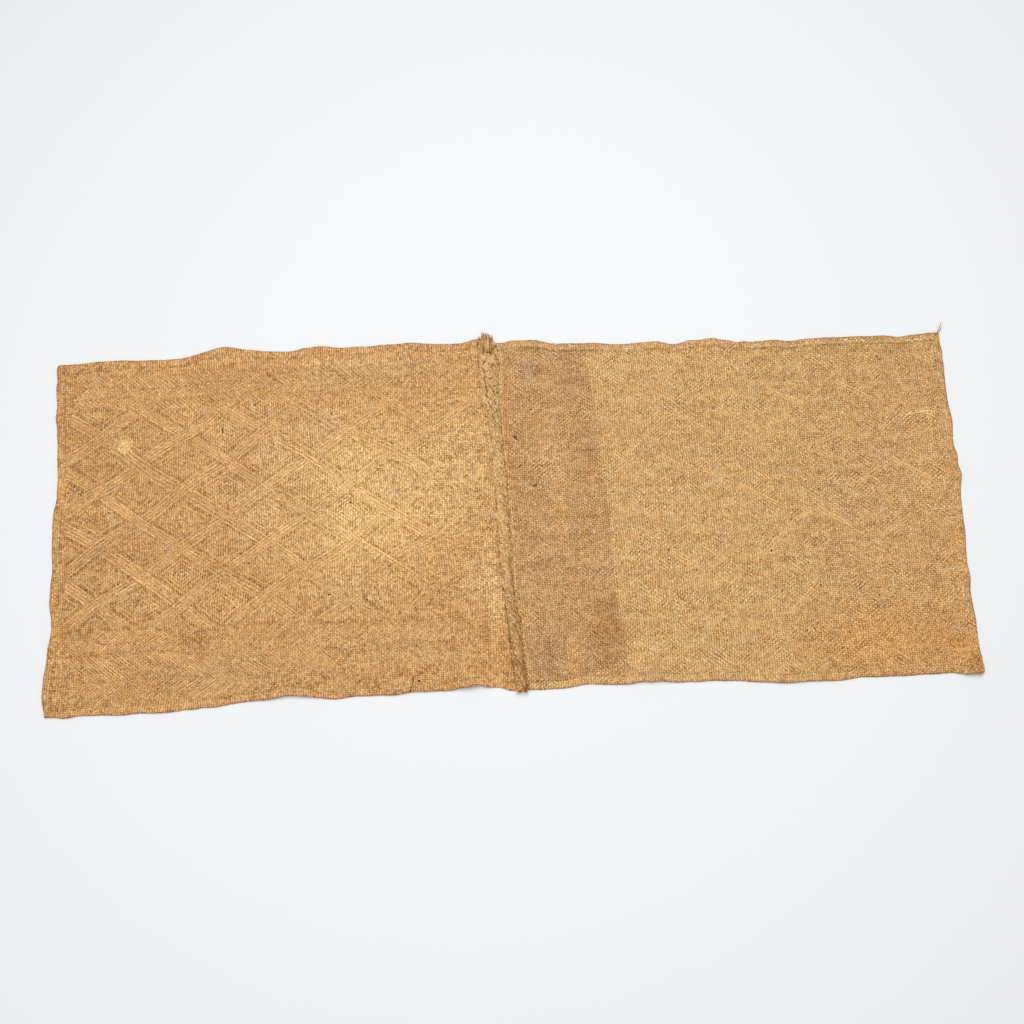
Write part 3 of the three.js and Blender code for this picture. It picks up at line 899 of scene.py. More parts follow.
@dataclass
class LozengeCloth(Cloth):
    """The left cloth, whose lattice of lozenges is worn down towards the seam."""

    # Each band of the lattice: how proud it stands, its ribs, how soft its sides are.
    proud: float = 0.3
    ribs: int = 4
    rib_pitch: float = 4.0
    band_soft: Span = (-0.4, 1.2)
    # The lozenges' field, with the herringbone rows that end above and below it.
    field_low: float = -130.0
    field_high: float = 157.0
    field_left: float = -554.0
    rows_above: Span = (197.0, 201.0)
    rows_below: Span = (222.0, 226.0)
    row_soft: float = 3.0
    # The spot near the left end where the floats are gone, and the wear towards the seam.
    bare: Place = (-483.0, 102.0)
    worn_from: float = -330.0
    worn_to: float = -60.0
    worn_keep: float = 0.25
    bend: tuple[Ripple, Ripple] = (Ripple(11, 110, 260, 2.6), Ripple(12, 90, 240, 3.0))
    # How dark the ground is under the floats, which is painted shade that shows in the gaps between them, and
    # inside the lozenges, which is their own darker tone; and how far both show.
    ground_shade: float = 0.86
    inner_shade: float = 0.9
    row_cover: float = 0.6
    least_shown: float = 0.35
    # The weave inside the lozenges is ribbed in the middle of the cloth, between these distances from it.
    ribbed_middle: float = -300.0
    ribbed_span: Span = (-280.0, -60.0)
    ribbed_least: float = 0.15
    ribbed_more: float = 0.75
    streaks_outside: float = 0.3
    streaks_worn: float = 0.35

    def keep(self, x: Array) -> Array:
        """Gives how much of the float weave is left, from 1 down to worn_keep at the seam."""
        share = np.clip((x - self.worn_from) / (self.worn_to - self.worn_from), 0, 1)
        return 1 + share * (self.worn_keep - 1)

    def ideal(self, x: Array, y: Array) -> tuple[Array, Array]:
        """Takes the cloth's sway out of places on it, so that the lattice is even."""
        bend_x, bend_y = (ripple.at(x, y) for ripple in self.bend)
        return x - bend_x, y - bend_y

    def swayed(self, x: Array, y: Array) -> tuple[Array, Array]:
        """Puts the cloth's sway into places on the even lattice."""
        bend_x, bend_y = (ripple.at(x, y) for ripple in self.bend)
        return x + bend_x, y + bend_y

    def on_band(self, x: Array, y: Array) -> Array:
        """Says where the bands of the lattice run.

        Args:
            x: Places along the panel, in mm.
            y: Places across it.

        Returns:
            1 on a band, 0 in a lozenge, with a soft step between them.
        """
        counts = self.lattice(x, y)[..., :2]
        away = np.abs(counts - np.round(counts)).min(axis=-1)
        inner, outer = (self.ribs * self.rib_pitch / 2 + soft for soft in self.band_soft)
        band = 1 - ease(away * LATTICE_PITCH, inner, outer)
        return band * self.in_field(x, y)

    def in_field(self, x: Array, y: Array) -> Array:
        """Says where the lozenges are: 1 in their field, 0 outside it."""
        _, flat_y = self.ideal(x, y)
        inside = ease(flat_y, self.field_low - 2, self.field_low + 2)
        inside = inside * (1 - ease(flat_y, self.field_high - 2, self.field_high + 2))
        return inside * ease(x, self.field_left - 2, self.field_left + 2)

    def lattice(self, x: Array, y: Array) -> Array:
        """Counts the bands where the cloth's sway has taken them."""
        counts = super().lattice(*self.ideal(x, y))
        counts[..., 2] = np.clip(self.shown(x, y), 0, ALL_SHOWN)
        return counts

    def shown(self, x: Array, y: Array) -> Array:
        """Shows the lattice in its field, less towards the seam."""
        return self.in_field(x, y) * (self.least_shown + (1 - self.least_shown) * self.keep(x))

    def raised(self, x: Array, y: Array) -> Array:
        """Adds the bands of the lattice to what stands proud."""
        return super().raised(x, y) + self.proud * self.on_band(x, y) * self.keep(x)

    def borders(self, x: Array, y: Array) -> Array:
        """Says where the herringbone rows run above and below the lozenges."""
        _, flat_y = self.ideal(x, y)
        above = ease(flat_y, self.field_high, self.field_high + self.row_soft)
        above = above * (1 - ease(flat_y, *self.rows_above))
        below = ease(-flat_y, -self.field_low, self.row_soft - self.field_low)
        below = below * (1 - ease(-flat_y, *self.rows_below))
        return (above + below) * ease(x, self.field_left, self.field_left + self.row_soft)

    def tone(self, x: Array, y: Array) -> Array:
        """Paints shade on the ground where floats cover it, which shows as dark gaps between them, and
        darkens the lozenges' insides in tone.
        """
        tone = super().tone(x, y)
        covered = np.clip(self.on_band(x, y) + self.row_cover * self.borders(x, y), 0, 1)
        inner = self.in_field(x, y) * (1 - covered)
        shade = 1 - ((1 - self.ground_shade) * covered + (1 - self.inner_shade) * inner) * self.keep(x)
        return tone * shade[..., None]

    def zone(self, x: Array, y: Array) -> Array:
        """Has the weave ribbed inside the lozenges."""
        zone = super().zone(x, y)
        lozenges = (1 - self.on_band(x, y)) * (1 - np.clip(self.borders(x, y), 0, 1))
        middle = ease(-np.abs(x - self.ribbed_middle), *self.ribbed_span)
        zone[..., 1] = self.ribbed_least + self.ribbed_more * lozenges * middle
        zone[..., 2] = self.streaks_outside * (1 - self.in_field(x, y))
        zone[..., 2] += self.streaks_worn * (1 - self.keep(x))
        return zone


@dataclass
class PlainCloth(Cloth):
    """The right cloth, grainy, with the browner band along the seam."""

    # The band's right edge, from its bottom end to its top end: y and x. It starts this far from the seam.
    band: tuple[Place, ...] = ()
    seam_strip: float = 5.0
    # The hem's end, folded once more: how far it reaches and how thick it is.
    fold_reach: float = 24.0
    fold_thick: float = 1.1
    # How ribbed the band is, and the rest of the cloth left of its end.
    band_ribbed: float = 0.1
    rest_ribbed: float = 0.5
    ribbed_span: Span = (-430.0, -250.0)

    def raised(self, x: Array, y: Array) -> Array:
        """Adds the hem's end, folded once more at the bottom corner."""
        _, bottom, end = self.inward(x, y)
        fold = np.clip(2 * (1 - end / self.fold_reach), 0, 1)
        fold = fold * (1 - ease(bottom, HEM_WIDTH, HEM_WIDTH + HEM_STEP))
        return super().raised(x, y) + self.fold_thick * fold

    def zone(self, x: Array, y: Array) -> Array:
        """Gives the distance into the band, and where the long picks show."""
        zone = super().zone(x, y)
        rows = np.array(self.band)
        top, bottom, _ = self.inward(x, y)
        from_seam = x - Seam.MIDDLE.at(y) - Seam.WIDE.at(y) / 2
        band = np.minimum(np.interp(y, rows[:, 0], rows[:, 1]) - x, from_seam - self.seam_strip)
        zone[..., 0] = np.minimum(np.minimum(band, top - HEM_WIDTH), bottom - HEM_WIDTH)
        rest = self.rest_ribbed * ease(-x, *self.ribbed_span)
        zone[..., 1] = np.where(zone[..., 0] > 0, self.band_ribbed, rest)
        zone[..., 2] = 1.0
        return zone


# Strands


class Section(Enum):
    """The shape across a strand, as shares of half its width and of its height."""

    FLOAT = ((-1.0, 0.0), (-0.62, 0.85), (0.62, 0.85), (1.0, 0.0))
    ROUND = tuple((-math.cos(math.tau * k / 5), math.sin(math.tau * k / 5)) for k in range(5))


@dataclass
class Strands:
    """Many strands of one kind, gathered batch by batch and made as one mesh."""

    name: str
    section: Section
    finish: RaffiaFibre
    slot: str
    # How far apart the strands lie in the finish's lines, in mm, so that no two look the same.
    shift: float = 7.3
    points: list[Array] = field(default_factory=list)
    tones: list[Array] = field(default_factory=list)
    alongs: list[Array] = field(default_factory=list)
    faces: list[tuple[int, ...]] = field(default_factory=list)
    count: int = 0

    def add(self, paths: Array, wide: Array | float, high: Array | float, tone: Array) -> None:
        """Adds a batch of strands that all have the same number of points.

        Args:
            paths: For each strand, its points in mm.
            wide: The width at each point.
            high: The height at each point.
            tone: For each point, its linear colour.
        """
        strands, steps, _ = paths.shape
        across = np.array(self.section.value)
        sides = len(across)
        run = unit(np.gradient(paths, axis=1))
        left = unit(np.cross((0.0, 0.0, 1.0), run))
        rise = np.cross(run, left)
        half = np.broadcast_to(np.asarray(wide) / 2, (strands, steps))[..., None, None]
        tall = np.broadcast_to(np.asarray(high), (strands, steps))[..., None, None]
        sideways = left[:, :, None] * across[:, :1] * half
        ring = paths[:, :, None] + sideways + rise[:, :, None] * across[:, 1:] * tall
        gone = np.linalg.norm(np.diff(paths, axis=1, prepend=paths[:, :1]), axis=-1).cumsum(axis=1)
        along = np.zeros((strands, steps, sides, 3))
        along[..., 0] = gone[..., None]
        along[..., 1] = across[:, 0] * half[..., 0]
        along[..., 2] = self.shift * (self.count + np.arange(strands))[:, None, None]
        index = np.arange(strands * steps * sides).reshape(strands, steps, sides) + self.count
        here, ahead = index[:, :-1], index[:, 1:]
        quads = np.stack([here, ahead, np.roll(ahead, -1, axis=2), np.roll(here, -1, axis=2)], axis=-1)
        self.faces += [tuple(quad) for quad in quads.reshape(-1, 4).tolist()]
        self.faces += [tuple(cap) for cap in index[:, 0].tolist()]
        self.faces += [tuple(reversed(cap)) for cap in index[:, -1].tolist()]
        self.points.append(ring.reshape(-1, 3))
        self.alongs.append(along.reshape(-1, 3))
        tone = np.broadcast_to(tone[:, :, None], (strands, steps, sides, 3))
        self.tones.append(tone.reshape(-1, 3))
        self.count += strands * steps * sides

    def build(self) -> Piece:
        """Makes one mesh of all the strands.

        Returns:
            The new piece.
        """
        values = {"along": np.concatenate(self.alongs)}
        shape = Shape(self.name, np.concatenate(self.points), self.faces, np.concatenate(self.tones), values)
        return shape.build(self.finish.material(), self.slot)


def on_cloth(cloth: Cloth, x: Array, y: Array, above: Array | float = 0.0) -> Array:
    """Lays flat places on a cloth, or this high above it, and gives their points in mm."""
    return np.stack([x, y, cloth.surface(x, y) + above], axis=-1)


def along_route(points: tuple[tuple[float, ...], ...], steps: int) -> Array:
    """Divides one route through a few points into this many."""
    route = np.array(points)
    fine = np.linspace(0, len(route) - 1, steps)
    return np.stack([np.interp(fine, np.arange(len(route)), column) for column in route.T], axis=-1)


def straight(start: Array, end: Array, steps: int) -> Array:
    """Divides straight runs, each from its start to its end, into this many points."""
    share = np.linspace(0, 1, steps)[None, :, None]
    return start[:, None] + share * (end - start)[:, None]


@dataclass
class LozengeFloats:
    """The raised strands of the left cloth's weave: lattice, inner lozenges and herringbone rows."""

    cloth: LozengeCloth
    wide: float = 2.9
    proud: float = 0.3
    sink: float = 0.25
    gain: float = 1.07
    pale_share: float = 0.15
    # How far the tone varies from float to float, and along one.
    tone_spread: Span = (0.05, 0.12)
    wander: float = 0.16
    seed: int = 21
    # How worn the floats are: in patches, between these shares, and how many are left in the worn part.
    fade: Ripple = Ripple(22, 30, 120, 0.35)
    fade_middle: float = 0.75
    fade_span: Span = (0.15, 1.1)
    least_left: float = 0.55
    end_taper: float = 0.45
    worn_width: float = 0.75
    bare_half: Place = (13.0, 12.0)
    bare_sink: float = 1.1
    seam_clear: float = 14.0
    shortest: float = 7.0
    # The bands that are laid, more than the cloth holds, and the room between one and what it goes under.
    bands: tuple[range, range] = (range(-6, 12), range(-8, 12))
    crossing_clear: float = 0.012
    # The outlines inside each lozenge: half their size, as a share of the pitch, and their share of a float.
    outlines: tuple[Place, ...] = ((0.285, 0.58), (0.2, 0.4))
    # The points on a float of the lattice, of an outline and of a herringbone row, which ends here.
    steps: tuple[int, int, int] = (27, 9, 8)
    rows_end: float = -20.0
    # Each herringbone row: where it starts and ends across the panel, how far its strokes lean, how far
    # apart they are, and how wide and high they are as a share of a full float.
    rows: tuple[tuple[float, float, float, float, float], ...] = (
        (199, 184, 20, 6.2, 0.85),
        (168, 183, 20, 6.2, 0.85),
        (167, 156, 14, 6.2, 0.8),
        (-163, -136, 33, 5.0, 0.62),
        (-164, -195, 38, 5.0, 0.62),
        (-224, -196, 34, 5.0, 0.62),
    )

    def lay(self, strands: Strands, start: Array, end: Array, steps: int, share: float = 1.0) -> None:
        """Lays straight floats on the even lattice, then sways them with the cloth.

        Args:
            strands: The mesh that they go to.
            start: Where each starts on the even lattice, in mm.
            end: Where each ends.
            steps: The number of points on each.
            share: How wide and high they are, as a share of a full float.
        """
        draw = np.random.default_rng(self.seed + len(strands.faces))
        flat = straight(start, end, steps)
        flat = flat + draw.normal(0, self.wander, (len(flat), steps, 2))
        x, y = self.cloth.swayed(flat[..., 0], flat[..., 1])
        keep = self.cloth.keep(x)
        middle = x[:, steps // 2]
        left = self.least_left + (1 - self.least_left) * self.cloth.keep(middle)
        kept = draw.random(len(flat)) < left
        kept &= self.inside(x, y)
        x, y, keep = x[kept], y[kept], keep[kept]
        keep = keep * np.clip(self.fade_middle + self.fade.at(x, y), *self.fade_span)
        taper = np.ones(steps)
        taper[[0, -1]] = self.end_taper
        high = share * self.proud * keep * taper + self.sink
        bare = Patch(self.cloth.bare, self.bare_half, PALE, 1.0, 0.5).weight(x, y)
        paths = on_cloth(self.cloth, x, y, -self.sink - self.bare_sink * bare)
        by_float, along_it = self.tone_spread
        own = draw.normal(1, by_float, (len(x), 1)) * draw.normal(1, along_it, x.shape)
        own = own * (1 + (self.gain - 1) * keep)
        # The cloth's own tone there, without the shade that the floats cast on their ground.
        tone = Cloth.tone(self.cloth, x, y)
        tone = (tone + self.pale_share * keep[..., None] * (linear(PALE) - tone)) * own[..., None]
        wide = self.wide * share * (self.worn_width + (1 - self.worn_width) * keep)
        strands.add(paths, wide, high, tone)

    def inside(self, x: Array, y: Array) -> Array:
        """Says which strands lie clear of the hems and of the seam."""
        top, bottom, end = self.cloth.inward(x, y)
        clear = np.minimum(np.minimum(top, bottom), end).min(axis=1) > HEM_WIDTH - 3
        return clear & ((Seam.MIDDLE.at(y) - x).min(axis=1) > self.seam_clear)

    def clip(self, start: Array, end: Array) -> tuple[Array, Array]:
        """Cuts runs off where the lozenge field ends.

        Args:
            start: Where each run starts on the even lattice.
            end: Where each ends.

        Returns:
            The starts and ends of the runs that are left.
        """
        low = np.array([self.cloth.field_left, self.cloth.field_low])
        high = np.array([0.0, self.cloth.field_high])
        run = end - start
        with np.errstate(divide="ignore"):
            one, two = (low - start) / run, (high - start) / run
        enter = np.clip(np.minimum(one, two).max(axis=1), 0, 1)
        leave = np.clip(np.maximum(one, two).min(axis=1), 0, 1)
        whole = (leave - enter) * np.linalg.norm(run, axis=1) > self.shortest
        cut = start + enter[:, None] * run, start + leave[:, None] * run
        return cut[0][whole], cut[1][whole]

    def crossing(self, m: Array, n: Array) -> Array:
        """Turns counts of falling and rising bands to a place on the even lattice."""
        x = LOZENGE_NODE[0] + (m + n) * LOZENGE_WIDE / 2
        y = LOZENGE_NODE[1] + (m - n) * LOZENGE_HIGH / 2
        return np.stack([x, y], axis=-1)

    def lattice(self, strands: Strands) -> None:
        """Lays the bands, each over one crossing and under the next."""
        m, n = (count.ravel().astype(float) for count in np.meshgrid(*self.bands))
        pitch = self.cloth.rib_pitch / LATTICE_PITCH
        clear = self.cloth.ribs / 2 * pitch + self.crossing_clear
        rising = (m + n) % 2 == 0
        for rib in range(self.cloth.ribs):
            shift = (rib - (self.cloth.ribs - 1) / 2) * pitch
            a = self.crossing(m[rising] - 1 + clear, n[rising] + shift)
            b = self.crossing(m[rising] + 1 - clear, n[rising] + shift)
            self.lay(strands, *self.clip(a, b), self.steps[0])
            a = self.crossing(m[~rising] + shift, n[~rising] - 1 + clear)
            b = self.crossing(m[~rising] + shift, n[~rising] + 1 - clear)
            self.lay(strands, *self.clip(a, b), self.steps[0])

    def inner_lozenges(self, strands: Strands) -> None:
        """Lays the two outlines inside each lozenge, broken here and there."""
        m, n = (count.ravel() + 0.5 for count in np.meshgrid(*self.bands))
        ways = ((-1, -1), (1, -1), (1, 1), (-1, 1))
        for half, share in self.outlines:
            corners = [self.crossing(m + i * half, n + j * half) for i, j in ways]
            for a, b in zip(corners, corners[1:] + corners[:1]):
                self.lay(strands, *self.clip(a, b), self.steps[1], share)

    def herringbone(self, strands: Strands) -> None:
        """Lays the leaning strokes of the rows above and below the lozenges."""
        for from_y, to_y, lean, pitch, share in self.rows:
            x = np.arange(self.cloth.field_left, self.rows_end, pitch)
            a = np.stack([x, np.full(len(x), float(from_y))], axis=-1)
            b = a + np.array([lean, to_y - from_y])
            self.lay(strands, a, b, self.steps[2], share)

    def build(self) -> Piece:
        """Makes all the floats.

        Returns:
            The new piece.
        """
        strands = Strands("lozenge_floats", Section.FLOAT, RaffiaFibre("Raffia float"), self.cloth.slot)
        self.lattice(strands)
        self.inner_lozenges(strands)
        self.herringbone(strands)
        return strands.build()


@dataclass
class PlainFloats:
    """The few raised lines that are left of the right cloth's pattern."""

    cloth: Cloth
    lines: tuple[tuple[float, float, float, float], ...]
    wide: float = 2.2
    proud: float = 0.3
    sink: float = 0.25
    gap: float = 3.6
    # How far each strand stops short of its line's ends, how it wanders and how pale it is.
    trim: Span = (-4.0, 6.0)
    wander: float = 0.3
    pale: Span = (1.1, 1.28)
    steps: int = 12
    seed: int = 31

    def build(self) -> Piece:
        """Makes two uneven strands along each line.

        Returns:
            The new piece.
        """
        strands = Strands("faint_floats", Section.FLOAT, RaffiaFibre("Raffia float, worn"), self.cloth.slot)
        draw = np.random.default_rng(self.seed)
        ends = np.array(self.lines)
        run = unit(ends[:, 2:] - ends[:, :2])
        side = np.stack([-run[:, 1], run[:, 0]], axis=-1)
        for shift in (-0.5, 0.5):
            trim = draw.uniform(*self.trim, (2, len(ends), 1))
            start = ends[:, :2] + side * shift * self.gap + run * trim[0]
            end = ends[:, 2:] + side * shift * self.gap - run * trim[1]
            wander = draw.normal(0, self.wander, (len(ends), self.steps, 2))
            flat = straight(start, end, self.steps) + wander
            x, y = flat[..., 0], flat[..., 1]
            tone = self.cloth.tone(x, y) * draw.uniform(*self.pale, (len(ends), 1, 1))
            strands.add(on_cloth(self.cloth, x, y, -self.sink), self.wide, self.proud + self.sink, tone)
        return strands.build()


@dataclass
class Stitches:
    """Running stitches of pale raffia along the hems of a cloth, uneven as hand sewing is."""

    cloth: Cloth
    name: str
    # Each row: which hem, how far in from its edge, and the share of its stitches that show.
    rows: tuple[tuple[str, float, float], ...]
    long: float = 3.6
    pitch: float = 5.6
    wide: float = 1.3
    high: float = 0.5
    # Each point's height, as a share of the stitch's: both its ends go into the cloth.
    arch: tuple[float, ...] = (-0.6, 0.4, 0.7, 0.4, -0.6)
    from_corner: float = 14.0
    uneven: Span = (0.7, 1.15)
    shift: float = 0.8
    # How far a stitch lies off its row, and how far it leans.
    off: float = 0.35
    lean: float = 0.3
    pale: Span = (0.3, 0.95)
    seed: int = 41

    def build(self) -> Piece:
        """Makes the stitches.

        Returns:
            The new piece.
        """
        strands = Strands(self.name, Section.ROUND, RaffiaFibre("Raffia sewing thread"), self.cloth.slot)
        draw = np.random.default_rng(self.seed)
        arch = self.high * np.array(self.arch)
        for hem, inset, share in self.rows:
            edge: Edge = getattr(self.cloth, hem)
            first, last = sorted((edge.start[0], edge.end[0]))
            starts = np.arange(first + self.from_corner, last - self.from_corner, self.pitch)
            starts = starts[draw.random(len(starts)) < share] + draw.normal(0, self.shift, 1)
            each = (len(starts), 1)
            long = draw.uniform(*self.uneven, each) * self.long
            along = starts[:, None] + long * np.linspace(0, 1, len(arch))
            off, lean = draw.normal(0, self.off, each), draw.normal(0, self.lean, each)
            drift = off + lean * np.linspace(-1, 1, len(arch))
            across = edge.place(along) - edge.side * (inset + drift)
            x, y = (across, along) if hem == "end" else (along, across)
            mix = draw.uniform(*self.pale, (len(starts), 1, 1))
            tone = self.cloth.tone(x, y) * (1 - mix) + linear(PALE) * mix
            strands.add(on_cloth(self.cloth, x, y, arch), self.wide, self.wide / 2, tone)
        return strands.build()


@dataclass
class PaleThreads:
    """Single pale threads that lie a little proud of a cloth."""

    cloth: Cloth
    # Each thread: its two ends.
    rows: tuple[tuple[float, float, float, float], ...]
    wide: float = 1.7
    high: float = 0.45
    sink: float = 0.1
    # How far it bends to and fro, and over what length.
    bend: float = 0.5
    bend_run: float = 2.3
    steps: int = 9

    def build(self) -> Piece:
        """Makes the threads.

        Returns:
            The new piece.
        """
        strands = Strands("pale_threads", Section.FLOAT, RaffiaFibre("Pale raffia thread"), self.cloth.slot)
        ends = np.array(self.rows)
        flat = straight(ends[:, :2], ends[:, 2:], self.steps)
        flat[..., 1] += self.bend * np.sin(flat[..., 0] / self.bend_run)
        tone = np.broadcast_to(linear(PALE), (len(ends), self.steps, 3))
        paths = on_cloth(self.cloth, flat[..., 0], flat[..., 1], -self.sink)
        strands.add(paths, self.wide, self.high, tone)
        return strands.build()


@dataclass
class Flecks:
    """Small knots and bits of husk caught in the weave, each a flat dome of a few faces."""

    cloth: Cloth
    name: str
    # Each fleck: its place, its length and width, its turn in degrees, and its tone.
    rows: tuple[FleckRow, ...]
    # Each ring of the dome: its share of the fleck's size, and its height over the cloth.
    rings: tuple[Place, ...] = ((1.0, -0.3), (0.8, 0.3), (0.45, 0.42))
    sides: int = 9
    # How far the outline bulges twice and three times round.
    bulges: Span = (0.22, 0.12)

    def build(self) -> Piece:
        """Makes the flecks as one mesh.

        Returns:
            The new piece.
        """
        points, faces, tones = [], [], []
        for n, (x, y, long, wide, turn, colour) in enumerate(self.rows):
            first = len(points)
            angle = np.arange(self.sides) * math.tau / self.sides
            twice, thrice = self.bulges
            uneven = 1 + twice * np.sin(2 * angle + n) + thrice * np.sin(3 * angle + 2.0 * n)
            cos, sin = math.cos(math.radians(turn)), math.sin(math.radians(turn))
            for reach, high in self.rings:
                a = np.cos(angle) * long / 2 * reach * uneven
                b = np.sin(angle) * wide / 2 * reach * uneven
                px, py = x + a * cos - b * sin, y + a * sin + b * cos
                points += on_cloth(self.cloth, px, py, high).tolist()
            for ring in range(len(self.rings) - 1):
                for k in range(self.sides):
                    here = first + ring * self.sides + k
                    ahead = first + ring * self.sides + (k + 1) % self.sides
                    faces.append((here, ahead, ahead + self.sides, here + self.sides))
            last = first + (len(self.rings) - 1) * self.sides
            faces.append(tuple(range(last, last + self.sides)))
            faces.append(tuple(reversed(range(first, first + self.sides))))
            tones += [linear(colour)] * (len(points) - first)
        shape = Shape(self.name, np.array(points), faces, np.array(tones), {"along": np.array(points)})
        return shape.build(RaffiaFibre("Husk fleck", grains=()).material(), self.cloth.slot)


# Seam


@dataclass
class SeamRidge:
    """The two raw edges that stand up together: frayed above, rolled and twisted below."""

    left: Cloth
    right: Cloth
    slot: str = "frayed_raffia"
    step: float = 1.1
    sides: int = 26
    # Where the ridge comes down off the hems near both ends.
    off_hem: Span = (HEM_WIDTH + 2, HEM_WIDTH + 8)
    # The twist of the rolled part, how it leans round the ridge, and what it leaves of the fray.
    twist_pitch: float = 17.0
    twist_depth: float = 0.12
    twist_lean: float = 1.6
    rolled_fray: float = 0.4
    # How fast the fray changes round the ridge, and the fine fray, and how much of both widens it.
    fray_round: float = 9.0
    fine_round: float = 5.0
    widens: float = 0.5
    # How brown the ridge is: at least, more where it is rolled, where it is widest, and at its low end.
    brown_least: float = 0.12
    brown_rolled: float = 0.46
    brown_wide: float = 0.17
    brown_low: float = 0.2
    wide_at: float = 178.0
    wide_half: float = 75.0
    low_span: Span = (150.0, 225.0)
    # More on its right side, and more again there where it is rolled: partly the brown of the raw ends,
    # partly painted shade on that flank.
    right_brown_and_shade: Span = (0.38, 0.14)
    right_from: float = 0.15
    right_power: float = 0.7
    body_brown: float = 0.62
    body_spread: float = 0.1
    seed: int = 51
    fray: Ripple = Ripple(52, 6, 30, 0.2)
    fine: Ripple = Ripple(53, 2.6, 9, 0.1)
    drift: Ripple = Ripple(54, 25, 90, 2.2)
    tones: tuple[str, ...] = ("#e6c28a", "#dcb37a", "#cf9d61", "#b47f46", "#8a5c30")

    def base(self, y: Array) -> Array:
        """Gives the height that the ridge lies on, over the hems near both ends."""
        from_end = np.minimum(SEAM_TOP - y, y - SEAM_LOW)
        return GAP + HEM_THICK + (CLOTH_THICK - HEM_THICK) * ease(from_end, *self.off_hem)

    def at(self, y: Array, turn: Array, proud: Array | float = 0.0) -> Array:
        """Finds places on the ridge.

        Args:
            y: Where each is along the seam, in mm.
            turn: How far round the ridge it is, from 0 at its right foot to pi at its left foot.
            proud: How far it stands off the ridge.

        Returns:
            Points in mm.
        """
        y, turn = np.broadcast_arrays(y, turn)
        roll = Seam.ROLL.at(y)
        lean = self.twist_lean * turn + self.drift.at(y, 0 * turn)
        spiral = np.cos(math.tau * y / self.twist_pitch + lean)
        uneven = self.fray.at(y, self.fray_round * turn) * (1 - (1 - self.rolled_fray) * roll)
        uneven = uneven + self.fine.at(y, self.fine_round * turn)
        swell = 1 + roll * self.twist_depth * spiral + uneven
        half = Seam.WIDE.at(y) / 2 * (1 + self.widens * (swell - 1)) + proud
        high = Seam.HIGH.at(y) * swell + proud
        x = Seam.MIDDLE.at(y) + half * np.cos(turn)
        return np.stack([x, y, self.base(y) + high * np.sin(turn)], axis=-1)

    def browned(self, y: Array, turn: Array) -> Array:
        """Says how brown the ridge is: most where it is rolled, and on its right side, which is partly
        painted shade.

        Args:
            y: Where each place is along the seam, in mm.
            turn: How far round the ridge it is.

        Returns:
            Shares from 0 to 1.
        """
        roll = Seam.ROLL.at(y)
        share = self.brown_least + self.brown_rolled * roll
        share = share + self.brown_wide * bump(y - self.wide_at, self.wide_half)
        share = share + self.brown_low * ease(-y, *self.low_span)
        # The right flank's browning is partly painted shade.
        right = np.clip(np.cos(turn) + self.right_from, 0, 1) ** self.right_power
        everywhere, rolled = self.right_brown_and_shade
        return np.clip(share + (everywhere + rolled * roll) * right, 0, 1)

    def ridge(self) -> Piece:
        """Makes the ridge's body.

        Returns:
            The new piece.
        """
        y = np.arange(SEAM_LOW, SEAM_TOP + self.step, self.step)
        turn = np.linspace(0, math.pi, self.sides)
        points = self.at(y[:, None], turn[None, :])
        rows, columns = points.shape[:2]
        index = np.arange(rows * columns).reshape(rows, columns)
        here, ahead = index[:-1], index[1:]
        quads = np.stack([here, np.roll(here, -1, axis=1), np.roll(ahead, -1, axis=1), ahead], axis=-1)
        faces = [tuple(reversed(quad)) for quad in quads.reshape(-1, 4).tolist()]
        faces += [tuple(index[0].tolist()), tuple(index[-1, ::-1].tolist())]
        flat = points.reshape(-1, 3)
        draw = np.random.default_rng(self.seed)
        pale, brown = linear(self.tones[0]), linear(self.tones[-1])
        share = self.browned(points[..., 1], np.broadcast_to(turn, (rows, columns))).reshape(-1, 1)
        spread = draw.normal(0, self.body_spread, share.shape)
        share = np.clip(share * self.body_brown + spread, 0, 1)
        tone = pale + share * (brown - pale)
        shape = Shape("seam_ridge_body", flat, faces, tone, {"along": flat[:, [1, 0, 2]]})
        finish = RaffiaFibre("Frayed raffia ridge", contrast=1.3, line=0.8, run=4.0)
        piece = shape.build(finish.material(), self.slot)
        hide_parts("seam_ridge")
        return piece

    def tone(self, draw: np.random.Generator, count: int, weights: tuple[float, ...]) -> Array:
        """Draws a tone for each of some fibres.

        Args:
            draw: The source of random numbers.
            count: The number of fibres.
            weights: How often each of the seam's tones is drawn.

        Returns:
            Linear colours.
        """
        palette = np.array([linear(tone) for tone in self.tones])
        chosen = draw.choice(len(palette), count, p=np.array(weights) / sum(weights))
        return palette[chosen] * draw.uniform(0.72, 1.2, (count, 1))

